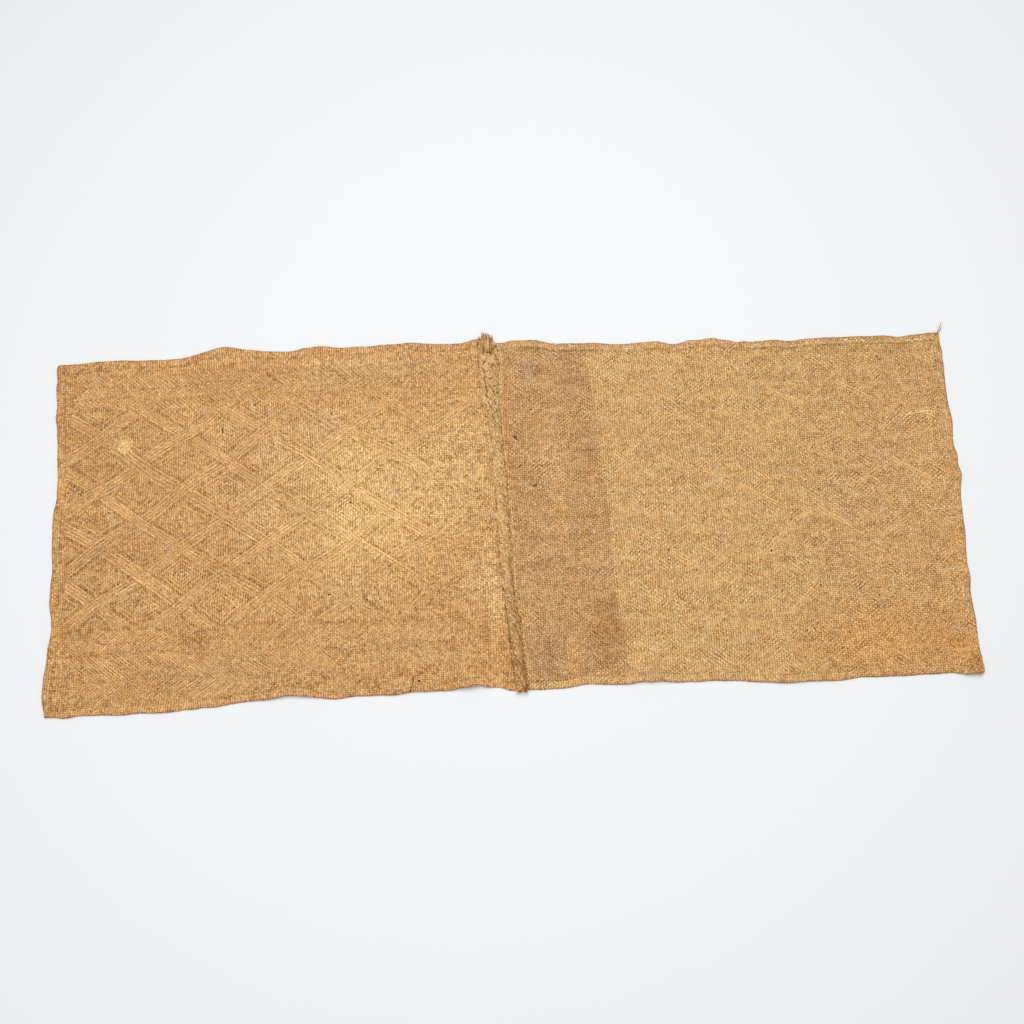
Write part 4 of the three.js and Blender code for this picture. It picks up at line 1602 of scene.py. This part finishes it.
    def fibres(self) -> Piece:
        """Makes the loose fibres that lie over the ridge, slanting more where it is rolled.

        Returns:
            The new piece.
        """
        strands = Strands("seam_fibres", Section.FLOAT, RaffiaFibre("Frayed raffia fibre"), self.slot)
        draw = np.random.default_rng(self.seed + 1)
        count, steps = 2200, 7
        y = draw.uniform(SEAM_LOW + 4, SEAM_TOP - 4, count)
        turn = draw.uniform(0.12, 0.92, count) * math.pi
        roll = Seam.ROLL.at(y)
        long = draw.uniform(5, 15, count)
        rolled_lean, loose_lean = draw.normal(0.6, 0.4, count), draw.normal(0.45, 0.5, count)
        lean = np.where(roll > 0.5, rolled_lean, loose_lean)
        share = np.linspace(0, 1, steps)
        path_y = y[:, None] - (long * np.cos(lean))[:, None] * share
        wide = Seam.WIDE.at(y)[:, None]
        path_turn = turn[:, None] - (long * np.sin(lean))[:, None] * share * 2 / wide
        path_y = np.clip(path_y, SEAM_LOW + 0.5, SEAM_TOP - 0.5)
        path_turn = np.clip(path_turn, 0.04 * math.pi, 0.97 * math.pi)
        stand = 0.05 + draw.uniform(0, 0.9, (count, 1)) * share**2 * (1 - 0.6 * roll[:, None])
        paths = self.at(path_y, path_turn, stand)
        pale = self.tone(draw, count, (5, 4, 2.2, 1.0, 0.4))
        brown = self.tone(draw, count, (0.4, 1.6, 3, 3, 2.6))
        share_brown = draw.random((count, 1)) < 1.1 * self.browned(y, turn)[:, None]
        tone = np.where(share_brown, brown, pale)[:, None] * np.ones((1, steps, 1))
        taper = np.linspace(1, 0.4, steps)
        strands.add(paths, draw.uniform(0.5, 1.3, (count, 1)) * taper, 0.4 * taper, tone)
        return strands.build()

    def fringe(self) -> Piece:
        """Makes the short brown ends that lie out over the right cloth, and the dark strand on the left that
        is painted shadow.

        Returns:
            The new piece.
        """
        strands = Strands("seam_fringe_and_shadow_line", Section.ROUND, RaffiaFibre("Raw edge fringe and painted shadow line"), self.slot)
        draw = np.random.default_rng(self.seed + 2)
        count, steps = 700, 5
        y = SEAM_LOW + 6 + (SEAM_TOP - SEAM_LOW - 90) * draw.random(count) ** 1.5
        share = np.linspace(0, 1, steps)
        start = Seam.MIDDLE.at(y) + Seam.WIDE.at(y) * 0.44
        reach = draw.uniform(1.0, 4.6, count) * (0.7 + 0.3 * Seam.ROLL.at(y))
        x = start[:, None] + reach[:, None] * share
        path_y = y[:, None] + draw.normal(-1.2, 1.8, (count, 1)) * share
        height = self.right.surface(x, path_y) + 0.4 + 1.4 * (1 - share) ** 2
        tone = self.tone(draw, count, (0.5, 0.9, 2.2, 3, 2.6))[:, None] * np.ones((1, steps, 1))
        strands.add(np.stack([x, path_y, height], axis=-1), 0.8, 0.4, tone)
        self.outline(strands, draw)
        return strands.build()

    def outline(self, strands: Strands, draw: np.random.Generator) -> None:
        """Lays the dark strand that winds along the ridge's left foot: painted shadow where the ridge meets
        the left cloth.

        Args:
            strands: The mesh that it goes to.
            draw: The source of random numbers.
        """
        steps = 14
        y = draw.uniform(SEAM_LOW + 14, 100, 34)
        roll = Seam.ROLL.at(y)
        y = y[draw.random(len(y)) < 0.6 + 0.4 * roll]
        long = draw.uniform(9, 26, (len(y), 1))
        path_y = np.maximum(y[:, None] - long * np.linspace(0, 1, steps), SEAM_LOW + 3)
        roll = Seam.ROLL.at(path_y)
        phase = self.drift.at(path_y, 0 * path_y) + math.tau * path_y / self.twist_pitch
        wave = (0.7 + 0.9 * roll) * np.sin(phase)
        foot = Seam.MIDDLE.at(path_y) - Seam.WIDE.at(path_y) * 0.43
        x = foot + wave + draw.normal(0, 0.3, (len(y), 1))
        turn = np.full(path_y.shape, 0.93 * math.pi)
        height = np.maximum(self.at(path_y, turn)[..., 2], self.left.surface(x, path_y)) + 0.3
        # Painted shadow, darker where the seam is rolled.
        dark, light = linear("#7d5630"), linear("#9c713f")
        tone = light + (dark - light) * roll[..., None]
        strands.add(np.stack([x, path_y, height], axis=-1), 0.8, 0.4, tone)

    def tuft(self) -> Piece:
        """Makes the frayed tuft that fans out over the top edge.

        Returns:
            The new piece.
        """
        strands = Strands("seam_tuft", Section.ROUND, RaffiaFibre("Frayed raffia tuft"), self.slot)
        draw = np.random.default_rng(self.seed + 3)
        count, steps = 130, 7
        share = np.linspace(0, 1, steps)
        spread = draw.uniform(-0.5, 0.5, count)
        level = draw.uniform(0, 1, count)
        root_x = SEAM_ROWS[-1, Seam.MIDDLE.value] + 15 * spread
        root_y = draw.uniform(206, 218, count)
        long = 23 * (1 - 0.7 * np.abs(spread)) * draw.uniform(0.6, 1.0, count)
        # No strand reaches further past the seam's top end than the photo's tuft.
        long = np.minimum(long, (SEAM_TOP + 16.8) - root_y)
        bend = draw.normal(0, 2.2, (count, 1)) * share**2
        x = root_x[:, None] + 5.5 * spread[:, None] * share + bend
        y = root_y[:, None] + long[:, None] * share
        rise = (2.2 + 3.4 * level)[:, None] * (1 - spread[:, None] ** 2) + 1.6 * np.sin(math.pi * share)
        z = self.base(np.array(float(SEAM_TOP))) + rise - 1.4 * share
        darker = np.linspace(1, 0.85, steps)[None, :, None]
        tone = self.tone(draw, count, (2, 3, 3, 2.4, 1.6))[:, None] * darker
        wide = draw.uniform(0.7, 1.3, (count, 1)) * np.linspace(1, 0.55, steps)
        strands.add(np.stack([x, y, z], axis=-1), wide, 0.45, tone)
        return strands.build()

    def knots(self) -> Piece:
        """Makes the lumpy knots at the seam's bottom end.

        Returns:
            The new piece.
        """
        strands = Strands("seam_knots", Section.ROUND, RaffiaFibre("Knotted seam thread"), self.slot)
        draw = np.random.default_rng(self.seed + 4)
        count, steps = 12, 9
        share = np.linspace(0, 1, steps)
        each, loop = (count, 1), 1.5
        x = np.linspace(2, 13, count)[:, None] + loop * np.sin(math.tau * share + draw.uniform(0, 6, each))
        y = draw.uniform(-231.5, -226.5, each)
        y = y + loop * np.cos(math.tau * share + draw.uniform(0, 6, each))
        z = draw.uniform(4.0, 8.4, (count, 1)) + 0.8 * np.sin(math.pi * share)
        tone = self.tone(draw, count, (0, 0.5, 2, 3, 3))[:, None] * np.ones((1, steps, 1))
        strands.add(np.stack([x, y, z], axis=-1), 1.7, 0.85, tone)
        return strands.build()

    def sewing(self) -> Piece:
        """Makes the dark stitches that show at the top of the seam.

        Returns:
            The new piece.
        """
        finish = RaffiaFibre("Dark sewing thread", grains=())
        strands = Strands("seam_stitches", Section.ROUND, finish, self.slot)
        # Each stitch: its two ends.
        rows = np.array(
            [
                (-24, 188, -21, 181), (-14, 187, -10, 191), (-23, 176, -21, 166), (-21, 164, -19, 154),
                (-12, 163, -9, 161), (-22, 152, -18, 146), (-19, 141, -15, 133), (-9, 131, -9, 126),
                (-20, 198, -23, 192), (-14, 124, -12, 117), (-14, 203, -11, 206), (-17, 171, -12, 174),
            ],
            dtype=float,
        )
        share = np.linspace(0, 1, 6)
        x = rows[:, :1] + (rows[:, 2:3] - rows[:, :1]) * share
        y = rows[:, 1:2] + (rows[:, 3:] - rows[:, 1:2]) * share
        half = Seam.WIDE.at(y) / 2
        turn = np.arccos(np.clip((x - Seam.MIDDLE.at(y)) / half, -0.98, 0.98))
        paths = self.at(y, turn, 0.35 + 0.5 * np.sin(math.pi * share))
        tone = np.broadcast_to(linear("#84603a"), paths.shape)
        strands.add(paths, 1.3, 0.5, tone)
        return strands.build()


@dataclass
class CornerThreads:
    """The two loose ends of the hem's sewing thread at the top right corner, with their knot."""

    cloth: Cloth
    slot: str = "loose_thread"
    knot: Place = (566.2, 207.4)
    thick: float = 0.95
    # The points of each end, from the knot: x, y and height above the floor.
    ends: tuple[tuple[tuple[float, float, float], ...], ...] = (
        ((566.2, 207.4, 5.6), (569.0, 211.5, 6.4), (571.6, 216.5, 7.2), (573.2, 220.4, 7.4),
         (574.2, 223.0, 7.0)),
        ((566.2, 207.4, 5.4), (569.6, 210.2, 5.8), (572.4, 213.2, 5.4), (574.0, 215.4, 4.8),
         (574.8, 217.2, 4.2)),
    )
    steps: int = 17
    tone: str = "#a47a4b"
    # The loops of the knot: how far each is turned, its radius, its points and its tone.
    loops: tuple[float, ...] = (0.2, 1.4, 2.5)
    loop_radius: float = 1.5
    loop_steps: int = 15
    loop_tone: str = "#b3844d"

    def build(self) -> Piece:
        """Makes the ends and the loops of the knot.

        Returns:
            The new piece.
        """
        strands = Strands("corner_thread_ends", Section.ROUND, RaffiaFibre("Raffia thread"), self.slot)
        for points in self.ends:
            path = along_route(points, self.steps)
            path[1:-1] = (path[:-2] + 2 * path[1:-1] + path[2:]) / 4
            tone = np.broadcast_to(linear(self.tone), (1, self.steps, 3))
            strands.add(path[None], self.thick * np.linspace(1, 0.7, self.steps), self.thick / 2, tone)
        share = np.linspace(0, 1, self.loop_steps)
        height = float(self.cloth.surface(np.array(self.knot[0]), np.array(self.knot[1])))
        for n, lean in enumerate(self.loops):
            angle = math.tau * share * 0.96 + lean
            x = self.knot[0] + self.loop_radius * np.cos(angle) * math.cos(lean) + 0.4 * n - 0.4
            y = self.knot[1] + self.loop_radius * np.sin(angle)
            z = height + 1.0 + 0.7 * np.sin(angle + lean) + 0.2 * n
            tone = np.broadcast_to(linear(self.loop_tone), (1, self.loop_steps, 3))
            strands.add(np.stack([x, y, z], axis=-1)[None], self.thick, self.thick / 2, tone)
        piece = strands.build()
        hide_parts("corner_threads")
        return piece


# The two cloths' own sizes

# The patches of each cloth: place, half length and width, tone, greatest share and how hard the rim is.
LEFT_PATCHES = (
    ((-185, 20), (190, 170), "#ddb073", 0.95, 0.1), ((-60, 60), (90, 150), "#d9ae74", 0.8),
    ((-300, 60), (120, 120), "#d4a771", 0.5), ((-305, 190), (50, 36), "#bb8855", 0.6),
    ((-395, -195), (76, 32), "#b28052", 0.9), ((-470, -158), (50, 18), "#bb885a", 0.6),
    ((-330, 66), (60, 44), "#bb8854", 0.6), ((-258, 5), (50, 70), "#c3915a", 0.6),
    ((-520, -35), (28, 24), "#b98858", 0.7), ((-190, -105), (62, 38), "#d9b07a", 0.45),
    ((-228, 182), (48, 34), "#cda474", 0.4), ((-240, -158), (64, 32), "#ca9f6c", 0.35),
    ((-562, 60), (16, 60), "#dda562", 0.6), ((-562, -150), (16, 44), "#dda05a", 0.6),
    ((-45, -95), (32, 60), "#dfb47d", 0.5), ((-24, -85), (14, 76), "#e0b47c", 0.75),
    ((-20, -122), (18, 56), "#e4b87e", 0.8), ((-484, 103), (15, 17), "#e6bc7c", 0.9, 0.3),
    ((-120, 40), (60, 60), "#d8aa70", 0.3), ((-228, 120), (40, 40), "#d2a878", 0.4),
    ((-480, -95), (40, 22), "#d2a672", 0.5), ((-516, 146), (12, 6), "#e9bf74", 0.9),
    ((-404, 143), (11, 6), "#e6bc70", 0.9), ((-478, 18), (22, 15), "#dba55e", 0.7),
    ((-392, 42), (26, 9), "#d8a35f", 0.6), ((-534, 60), (20, 14), "#c98f50", 0.6),
    ((-360, 200), (90, 26), "#c18d58", 0.8), ((-150, 196), (150, 40), "#caa06b", 0.7),
    ((-120, -170), (110, 50), "#c89a66", 0.7), ((-340, -190), (160, 40), "#c79963", 0.6),
    ((-520, -200), (60, 60), "#c6955e", 0.5),
)
RIGHT_PATCHES = (
    ((500, 0), (170, 330), "#cf9f68", 0.85, 0.1), ((470, -190), (220, 80), "#d0985b", 0.8),
    ((74, -195), (10, 60), "#dba767", 0.9), ((66, 10), (16, 80), "#d8a869", 0.7),
    ((62, 112), (40, 16), "#d9a566", 0.5), ((116, -160), (40, 60), "#b5834f", 0.85),
    ((104, 60), (18, 60), "#c1915e", 0.6), ((92, 176), (40, 50), "#b68a5c", 0.55),
    ((40, -185), (26, 50), "#c59a6b", 0.7, 0.4), ((34, 185), (22, 26), "#bd9b74", 0.7),
    ((35, -70), (12, 60), "#bd8d62", 0.5), ((4, 110), (7, 110), "#c88f52", 0.9),
    ((560, -222), (22, 12), "#bd8246", 0.8), ((195, 60), (90, 150), "#c99e69", 0.75),
    ((245, 75), (50, 50), "#c2935e", 0.5), ((455, 15), (130, 120), "#cba370", 0.45),
    ((58, 54), (26, 76), "#dfb27e", 0.6), ((440, -182), (66, 42), "#d9a063", 0.6),
    ((545, -200), (40, 26), "#da9a53", 0.5), ((40, -202), (24, 24), "#b48a5c", 0.5),
    ((562, -80), (20, 66), "#dba362", 0.5), ((250, 208), (330, 12), "#cf9f6c", 0.7),
)

LEFT = LozengeCloth(
    name="lozenge_cloth",
    node="left_cloth",
    slot="lozenge_raffia",
    side=-1,
    top=Edge(
        (-573, 216.5), (-22, 225), 1,
        (
            (-505, 60, 2.2, 0.5), (-361, 56, 11.5, 5), (-300, 50, 3), (-238, 40, 5, 3),
            (-185, 60, 3), (-120, 45, 3.5, 1.5), (-62, 35, -1.5), (-28, 24, 4.5),
            (-376, 24, -2.4), (-319, 20, 2.4), (-255, 10, 1.3), (-150, 22, 1.3),
            (-66, 26, 1.3),
        ),
    ),
    bottom=Edge(
        (-572, -237.5), (5, -226), -1,
        (
            (-540, 20, 1.2, 0.5), (-424, 34, 3, 1), (-275, 62, -7, 4),
            (-125, 80, -2.4, 1.5), (-52, 32, -6, 8), (0, 24, 4),
            (-474, 54, 2.4), (-390, 12, 1.6), (-330, 34, -3.6), (-192, 26, -1.7),
            (-146, 26, 1.5), (-56, 16, 2.9), (-22, 16, -1.4), (-545, 14, 1.0),
        ),
    ),
    end=Edge(
        (-240, -570.5), (220, -570), -1,
        (
            (-203, 34, 4.6, 2), (-135, 42, -5, 1.5), (-55, 40, -2),
            (65, 50, -4.6, 2), (182, 34, 2.6, 1), (209, 16, 3, 1.5),
            (145, 18, 1.9), (109, 20, -1.9), (36, 20, -2.3), (-112, 16, -1.1),
            (-153, 30, 1.7), (-200, 20, -1.6),
        ),
    ),
    base="#c9965e",
    cut=(592.0, 482.0),
    creases=(
        Crease(((-262, -100), (-256, -40), (-247, 30)), 9, 0.5),
        Crease(((-217, 222), (-221, 180), (-218, 126)), 5, -0.4),
        Crease(((-96, -235), (-70, -170), (-40, -150)), 16, 0.5),
        Crease(((-52, -236), (-48, -200), (-60, -160)), 14, 0.6),
    ),
    patches=tuple(Patch(*row) for row in LEFT_PATCHES),
    finish=RaffiaWeave("Raffia plain weave, lozenge cloth"),
)

RIGHT = PlainCloth(
    name="plain_cloth",
    node="right_cloth",
    slot="plain_raffia",
    side=1,
    top=Edge(
        (-8, 219.2), (570, 208.5), 1,
        (
            (20, 52, 6), (62, 26, 0, 2), (160, 46, -3), (226, 24, -4.5), (264, 30, 3, 3),
            (316, 36, -5), (374, 28, -4, 0.5), (420, 40, 1, 2), (519, 18, -2), (560, 28, 1.8, 1.5),
            (44, 22, 2.3), (5, 10, -1.3), (260, 20, -3.4), (295, 12, 1.4), (317, 10, 2.2),
            (345, 18, -2.6), (415, 52, -2.7), (178, 20, 0.8),
        ),
    ),
    bottom=Edge(
        (5, -230), (571, -232), -1,
        (
            (88, 36, -4, 1), (165, 48, -5, 3), (240, 45, -2, 0.5),
            (335, 70, 4.6, 1.5), (445, 60, 1.5), (556, 30, 3.6, 3),
            (116, 28, -1.8), (165, 14, 2.0), (210, 16, -1.4), (391, 36, 3.8), (495, 60, 1.1),
        ),
    ),
    end=Edge(
        (-236, 570.5), (212, 570.5), 1,
        (
            (-224, 24, 0.5, 2.5), (-120, 75, -4.4, 0.5), (18, 24, 4, 3), (82, 34, 1.2),
            (158, 26, 1.4, 1.5), (184, 12, 2.1), (156, 14, -1.1), (95, 34, 1.6),
            (42, 15, 3.6), (-2, 16, 1.4), (-114, 20, 3.1), (-205, 62, -2.3),
        ),
    ),
    base=BEIGE,
    cut=(592.0, 464.0),
    creases=(
        Crease(((57, -133), (61, -166), (63, -190), (65, -222)), 6, 0.7),
        Crease(((540, -222), (557, -221.6), (568, -220.8)), 3, -0.5),
    ),
    patches=tuple(Patch(*row) for row in RIGHT_PATCHES),
    finish=RaffiaWeave(
        "Raffia plain weave, grainy cloth",
        relief_shade_contrast=0.78,
        thread_contrast=0.44,
        brightness=1.0,
        hatch_contrast=0.23,
    ),
    band=(
        (-231, 137), (-190, 139), (-156, 136), (-135, 130), (-75, 129), (-42, 127),
        (12, 126), (41, 122), (93, 120), (136, 115), (166, 114), (188, 109), (222, 113),
    ),
    sway=(Ripple(7, 70, 190, 1.8), Ripple(8, 60, 170, 1.8)),
    hem_lines=(0.22, 0.14, 0.05),
    swell=Ripple(9, 60, 170, 0.35),
)

# The hems' rows of stitches: which hem, how far in from its edge, and the share of them that shows.
LEFT_SEWING = (("top", 8.0, 0.35), ("end", 8.2, 0.45), ("bottom", 7.4, 0.7))
RIGHT_SEWING = (("top", 7.8, 0.85), ("end", 8.0, 0.3), ("bottom", 8.2, 0.85))

# Pale threads on the right cloth, then the lines that are left of its pattern, each by its two ends.
PALE_ENDS = (
    (514.5, 201.0, 518.5, 200.2), (526, 201.6, 535, 202.4), (538, 202.2, 551, 201.4), (514, 101, 524, 101.6),
    (527, 103, 546, 104.4), (557, -127, 557.4, -134), (557.6, -136, 557, -142), (560, 202, 563, 202.6),
    (468, 204.5, 474, 204.2), (446, 206, 452, 205.6),
)
FAINT_LINES = (
    (308, -81, 362, -31), (362, -31, 385, -15), (152, 62, 175, 85), (175, 85, 215, 119),
    (345, -148, 382, -111), (392, 65, 438, 85), (152, 2, 195, -28), (205, -65, 242, -91),
    (368, 72, 412, 48), (342, 142, 385, 122),
    (132, 69, 155, 50), (242, -91, 290, -60), (290, 20, 342, -12), (250, 40, 290, 20), (440, 10, 492, 42),
    (492, 42, 540, 12), (430, 150, 480, 120), (280, 120, 330, 88), (215, 119, 262, 88), (385, -15, 430, -42),
    (460, -60, 510, -30), (330, 88, 368, 112), (540, 100, 556, 92), (185, 150, 230, 180),
)

# Bits of husk: place, length, width, turn in degrees and tone.
LEFT_FLECKS = (
    (-345, -129, 2.6, 2.2, 20, DARK), (-434, -208, 2.8, 2.4, 0, DARK), (-516, -160, 3.4, 2.4, 30, SHELL),
    (-527, -178, 4.0, 1.8, 60, SHELL), (-554, -229, 3.0, 2.0, 80, WORN_HUSK),
    (-421, -182, 2.0, 1.8, 0, SHELL), (-225, -101, 5.0, 2.0, 5, HUSK),
    (-488, -60, 2.8, 2.2, 0, HUSK), (-197, 16, 3.0, 2.4, 0, DARK), (-220, 134, 3.2, 1.8, 70, SHELL),
    (-164, -102, 2.4, 2.0, 0, HUSK), (-66, -66, 2.4, 1.8, 0, SHELL), (-359, 118, 1.6, 9.5, 0, DARK),
    (-117, -213, 3.8, 3.2, 15, "#3f2b18"), (-300, 150, 2.2, 1.6, 30, SHELL),
    (-120, 66, 2.4, 1.6, 40, WORN_HUSK),
)
RIGHT_FLECKS = (
    (35.5, 129, 3.2, 2.6, 20, DARK), (14, 92, 7.6, 5.0, -55, DRY_HUSK), (18, 54, 5.4, 3.4, 50, DRY_HUSK),
    (36, 28, 7.2, 4.2, 35, DRY_HUSK), (43, 37, 3.0, 2.2, 30, "#7d6140"), (218, 199, 2.8, 2.4, 0, DARK),
    (191, 141, 2.6, 1.8, 90, HUSK), (269, 121, 1.4, 6.5, 0, "#6b5232"), (134, 15, 4.4, 2.2, 10, HUSK),
    (195, -37, 2.0, 1.8, 0, DARK), (198, -63, 1.6, 5.0, 0, DARK), (139, -77, 3.0, 2.0, 20, HUSK),
    (326, -70, 3.2, 2.8, 0, DARK), (236, -155, 2.2, 1.8, 0, HUSK), (233, -163, 2.2, 1.8, 0, SHELL),
    (487, 181, 2.6, 2.2, 0, DARK), (483, 153, 2.6, 2.2, 0, DARK), (416, 58, 2.2, 3.4, 15, DARK),
    (444, 26, 2.8, 2.4, 0, DARK), (454, -132, 3.0, 2.2, 40, DARK), (447, -138, 2.2, 1.8, 0, DARK),
    (473, -131, 2.0, 1.6, 0, HUSK), (427, -144, 1.4, 4.4, 0, HUSK), (425, -172, 1.4, 8.0, -4, HUSK),
    (429, -172, 1.2, 7.0, -4, HUSK), (370, -171, 1.4, 5.4, 10, HUSK), (346, -203, 2.4, 2.0, 0, SHELL),
    (564, -235.4, 3.8, 2.8, 10, "#a87840"),
)

# The shortest and the longest tick, in mm.
TICK_LONG = (1.8, 4.6)


def ticks(
    seed: int, count: int, at: Place, half: Place, wide: float, turns: Span, colour: str
) -> tuple[FleckRow, ...]:
    """Scatters small ticks, such as bits of husk that lie along the ribs.

    Args:
        seed: The source of random numbers.
        count: The number of ticks.
        at: The middle of where they lie, in mm.
        half: How far they lie from it, along and across the panel.
        wide: The width of each.
        turns: The least and the greatest turn, in degrees.
        colour: The tone of each.

    Returns:
        One fleck's row for each.
    """
    draw = np.random.default_rng(seed)
    rows = []
    for _ in range(count):
        away, way = math.sqrt(draw.random()), math.tau * draw.random()
        long, turn = draw.uniform((TICK_LONG[0], turns[0]), (TICK_LONG[1], turns[1]))
        x, y = at[0] + half[0] * away * math.cos(way), at[1] + half[1] * away * math.sin(way)
        rows.append((x, y, long, wide, turn, colour))
    return tuple(rows)


# The husk in the right cloth's ribs, and the pale ground at the left cloth's bare spot.
HUSK_TICKS = ticks(61, 80, (298, 120), (138, 88), 0.95, (82, 98), "#7a5632")
BARE_TICKS = ticks(62, 46, (-482, 100), (9.5, 8), 1.7, (-70, 20), "#f3ca88")
BARE_TICKS += ticks(63, 14, (-490, 109), (6, 5), 1.6, (-60, 0), "#e9bf7e")


@dataclass
class Tear:
    """The small tear at the left cloth's bottom hem: dark slits, painted shade in place of open gaps, with
    torn threads along them.
    """

    cloth: Cloth
    # Each slit or pulled thread: its points, its width and its tone.
    rows: tuple[tuple[tuple[Place, ...], float, str], ...] = (
        (((-128.6, -226.0), (-125.4, -219.0), (-124.0, -212.0), (-124.4, -207.6)), 1.5, "#4a3018"),
        (((-124.4, -207.6), (-120.0, -205.4), (-115.0, -204.2), (-110.8, -202.6)), 1.2, "#6b4726"),
        (((-143.8, -188.5), (-143.4, -195.0), (-144.0, -201.0), (-147.7, -206.6)), 1.1, "#8a6238"),
        (((-509.0, -148.0), (-503.0, -150.6), (-496.0, -150.8), (-488.0, -148.4)), 1.3, "#6a5a38"),
    )
    high: float = 0.45
    sink: float = 0.25
    steps: int = 13

    def build(self) -> Piece:
        """Makes the slits as low dark strands in the weave, painted shade where an open slit would be.

        Returns:
            The new piece.
        """
        strands = Strands("torn_threads_and_slit_shade", Section.FLOAT, RaffiaFibre("Torn raffia thread and slit shade"), self.cloth.slot)
        for points, wide, colour in self.rows:
            x, y = along_route(points, self.steps).T
            path = on_cloth(self.cloth, x, y, -self.sink)[None]
            strands.add(path, wide, self.high, np.broadcast_to(linear(colour), (1, self.steps, 3)))
        return strands.build()


@dataclass
class Studio:
    """A pale floor, soft light from above and the camera, which looks down steeply from the near side."""

    lens: float = 47.0
    distance: float = 1.68
    elevation: float = 75.0
    azimuth: float = -2.6
    target: tuple[float, float, float] = (0.00528, -0.0053, 0.0)
    floor_size: float = 14.0
    floor_colour: str = "#e9eaeb"

    def back(self) -> Vector:
        """Gives the way from the target to the camera."""
        e, a = math.radians(self.elevation), math.radians(self.azimuth)
        return Vector((math.cos(e) * math.sin(a), -math.cos(e) * math.cos(a), math.sin(e)))

    def camera(self) -> None:
        """Puts the camera where the photograph was taken from."""
        camera = bpy.data.objects.new("camera", bpy.data.cameras.new("camera"))
        camera.data.lens = self.lens
        camera.data.sensor_width = 36.0
        bpy.context.scene.collection.objects.link(camera)
        a = math.radians(self.azimuth)
        right = Vector((math.cos(a), math.sin(a), 0.0))
        up = self.back().cross(right)
        turn = Matrix((right, up, self.back())).transposed().to_4x4()
        camera.matrix_world = Matrix.Translation(Vector(self.target) + self.back() * self.distance) @ turn
        bpy.context.scene.camera = camera

    def floor(self) -> None:
        """Lays the floor that the panel lies on."""
        bpy.ops.object.select_all(action="DESELECT")
        bpy.ops.mesh.primitive_plane_add(size=self.floor_size, location=(0, 0, 0))
        floor = bpy.context.object
        floor.name = "floor"
        nodes = Nodes("Matt white studio floor")
        nodes.shader.inputs["Base Color"].default_value = (*linear(self.floor_colour), 1)
        nodes.shader.inputs["Roughness"].default_value = 0.9
        nodes.shader.inputs["Specular IOR Level"].default_value = 0.1
        floor.data.materials.append(nodes.material)

    def light(self, name: str, place: Vector, size: float, power: float) -> None:
        """Adds one soft square light that faces the panel.

        Args:
            name: Its name.
            place: Where it hangs, in metres.
            size: Its side.
            power: Its power in watts.
        """
        lamp = bpy.data.lights.new(name, "AREA")
        lamp.shape = "SQUARE"
        lamp.size = size
        lamp.energy = power
        holder = bpy.data.objects.new(name, lamp)
        holder.location = place
        holder.rotation_euler = (-place).to_track_quat("-Z", "Y").to_euler()
        bpy.context.scene.collection.objects.link(holder)

    def build(self) -> None:
        """Sets up the camera, the floor and the light."""
        self.camera()
        self.floor()
        self.light("key softbox", Vector((0.25, 0.7, 2.2)), 1.3, 20)
        self.light("overhead softbox", Vector((-0.24, -0.28, 2.5)), 2.1, 38.8)
        world = bpy.data.worlds.new("studio")
        world.use_nodes = True
        world.node_tree.nodes["Background"].inputs["Color"].default_value = (0.955, 0.97, 0.995, 1)
        world.node_tree.nodes["Background"].inputs["Strength"].default_value = 0.345
        bpy.context.scene.world = world
        bpy.context.scene.view_settings.view_transform = "Standard"


def main() -> None:
    """Builds the panel, piece by piece."""
    logging.basicConfig(level=logging.INFO, format="%(message)s")
    Studio().build()
    left, right = LEFT.build(), RIGHT.build()
    on_left = [
        LozengeFloats(LEFT).build(),
        Stitches(LEFT, "lozenge_cloth_stitches", LEFT_SEWING).build(),
        Flecks(LEFT, "lozenge_cloth_flecks", LEFT_FLECKS + BARE_TICKS).build(),
        Tear(LEFT).build(),
    ]
    on_right = [
        PlainFloats(RIGHT, FAINT_LINES).build(),
        PaleThreads(RIGHT, PALE_ENDS).build(),
        Stitches(RIGHT, "plain_cloth_stitches", RIGHT_SEWING).build(),
        Flecks(RIGHT, "plain_cloth_flecks", RIGHT_FLECKS + HUSK_TICKS).build(),
    ]
    ridge = SeamRidge(LEFT, RIGHT)
    for make in (ridge.ridge, ridge.fibres, ridge.fringe, ridge.tuft, ridge.sewing, ridge.knots):
        make()
    CornerThreads(RIGHT).build()
    for cloth, piece, others in ((LEFT, left, on_left), (RIGHT, right, on_right)):
        wide, long = (size * MM for size in cloth.cut)
        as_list(others)


if __name__ == "__main__":
    main()
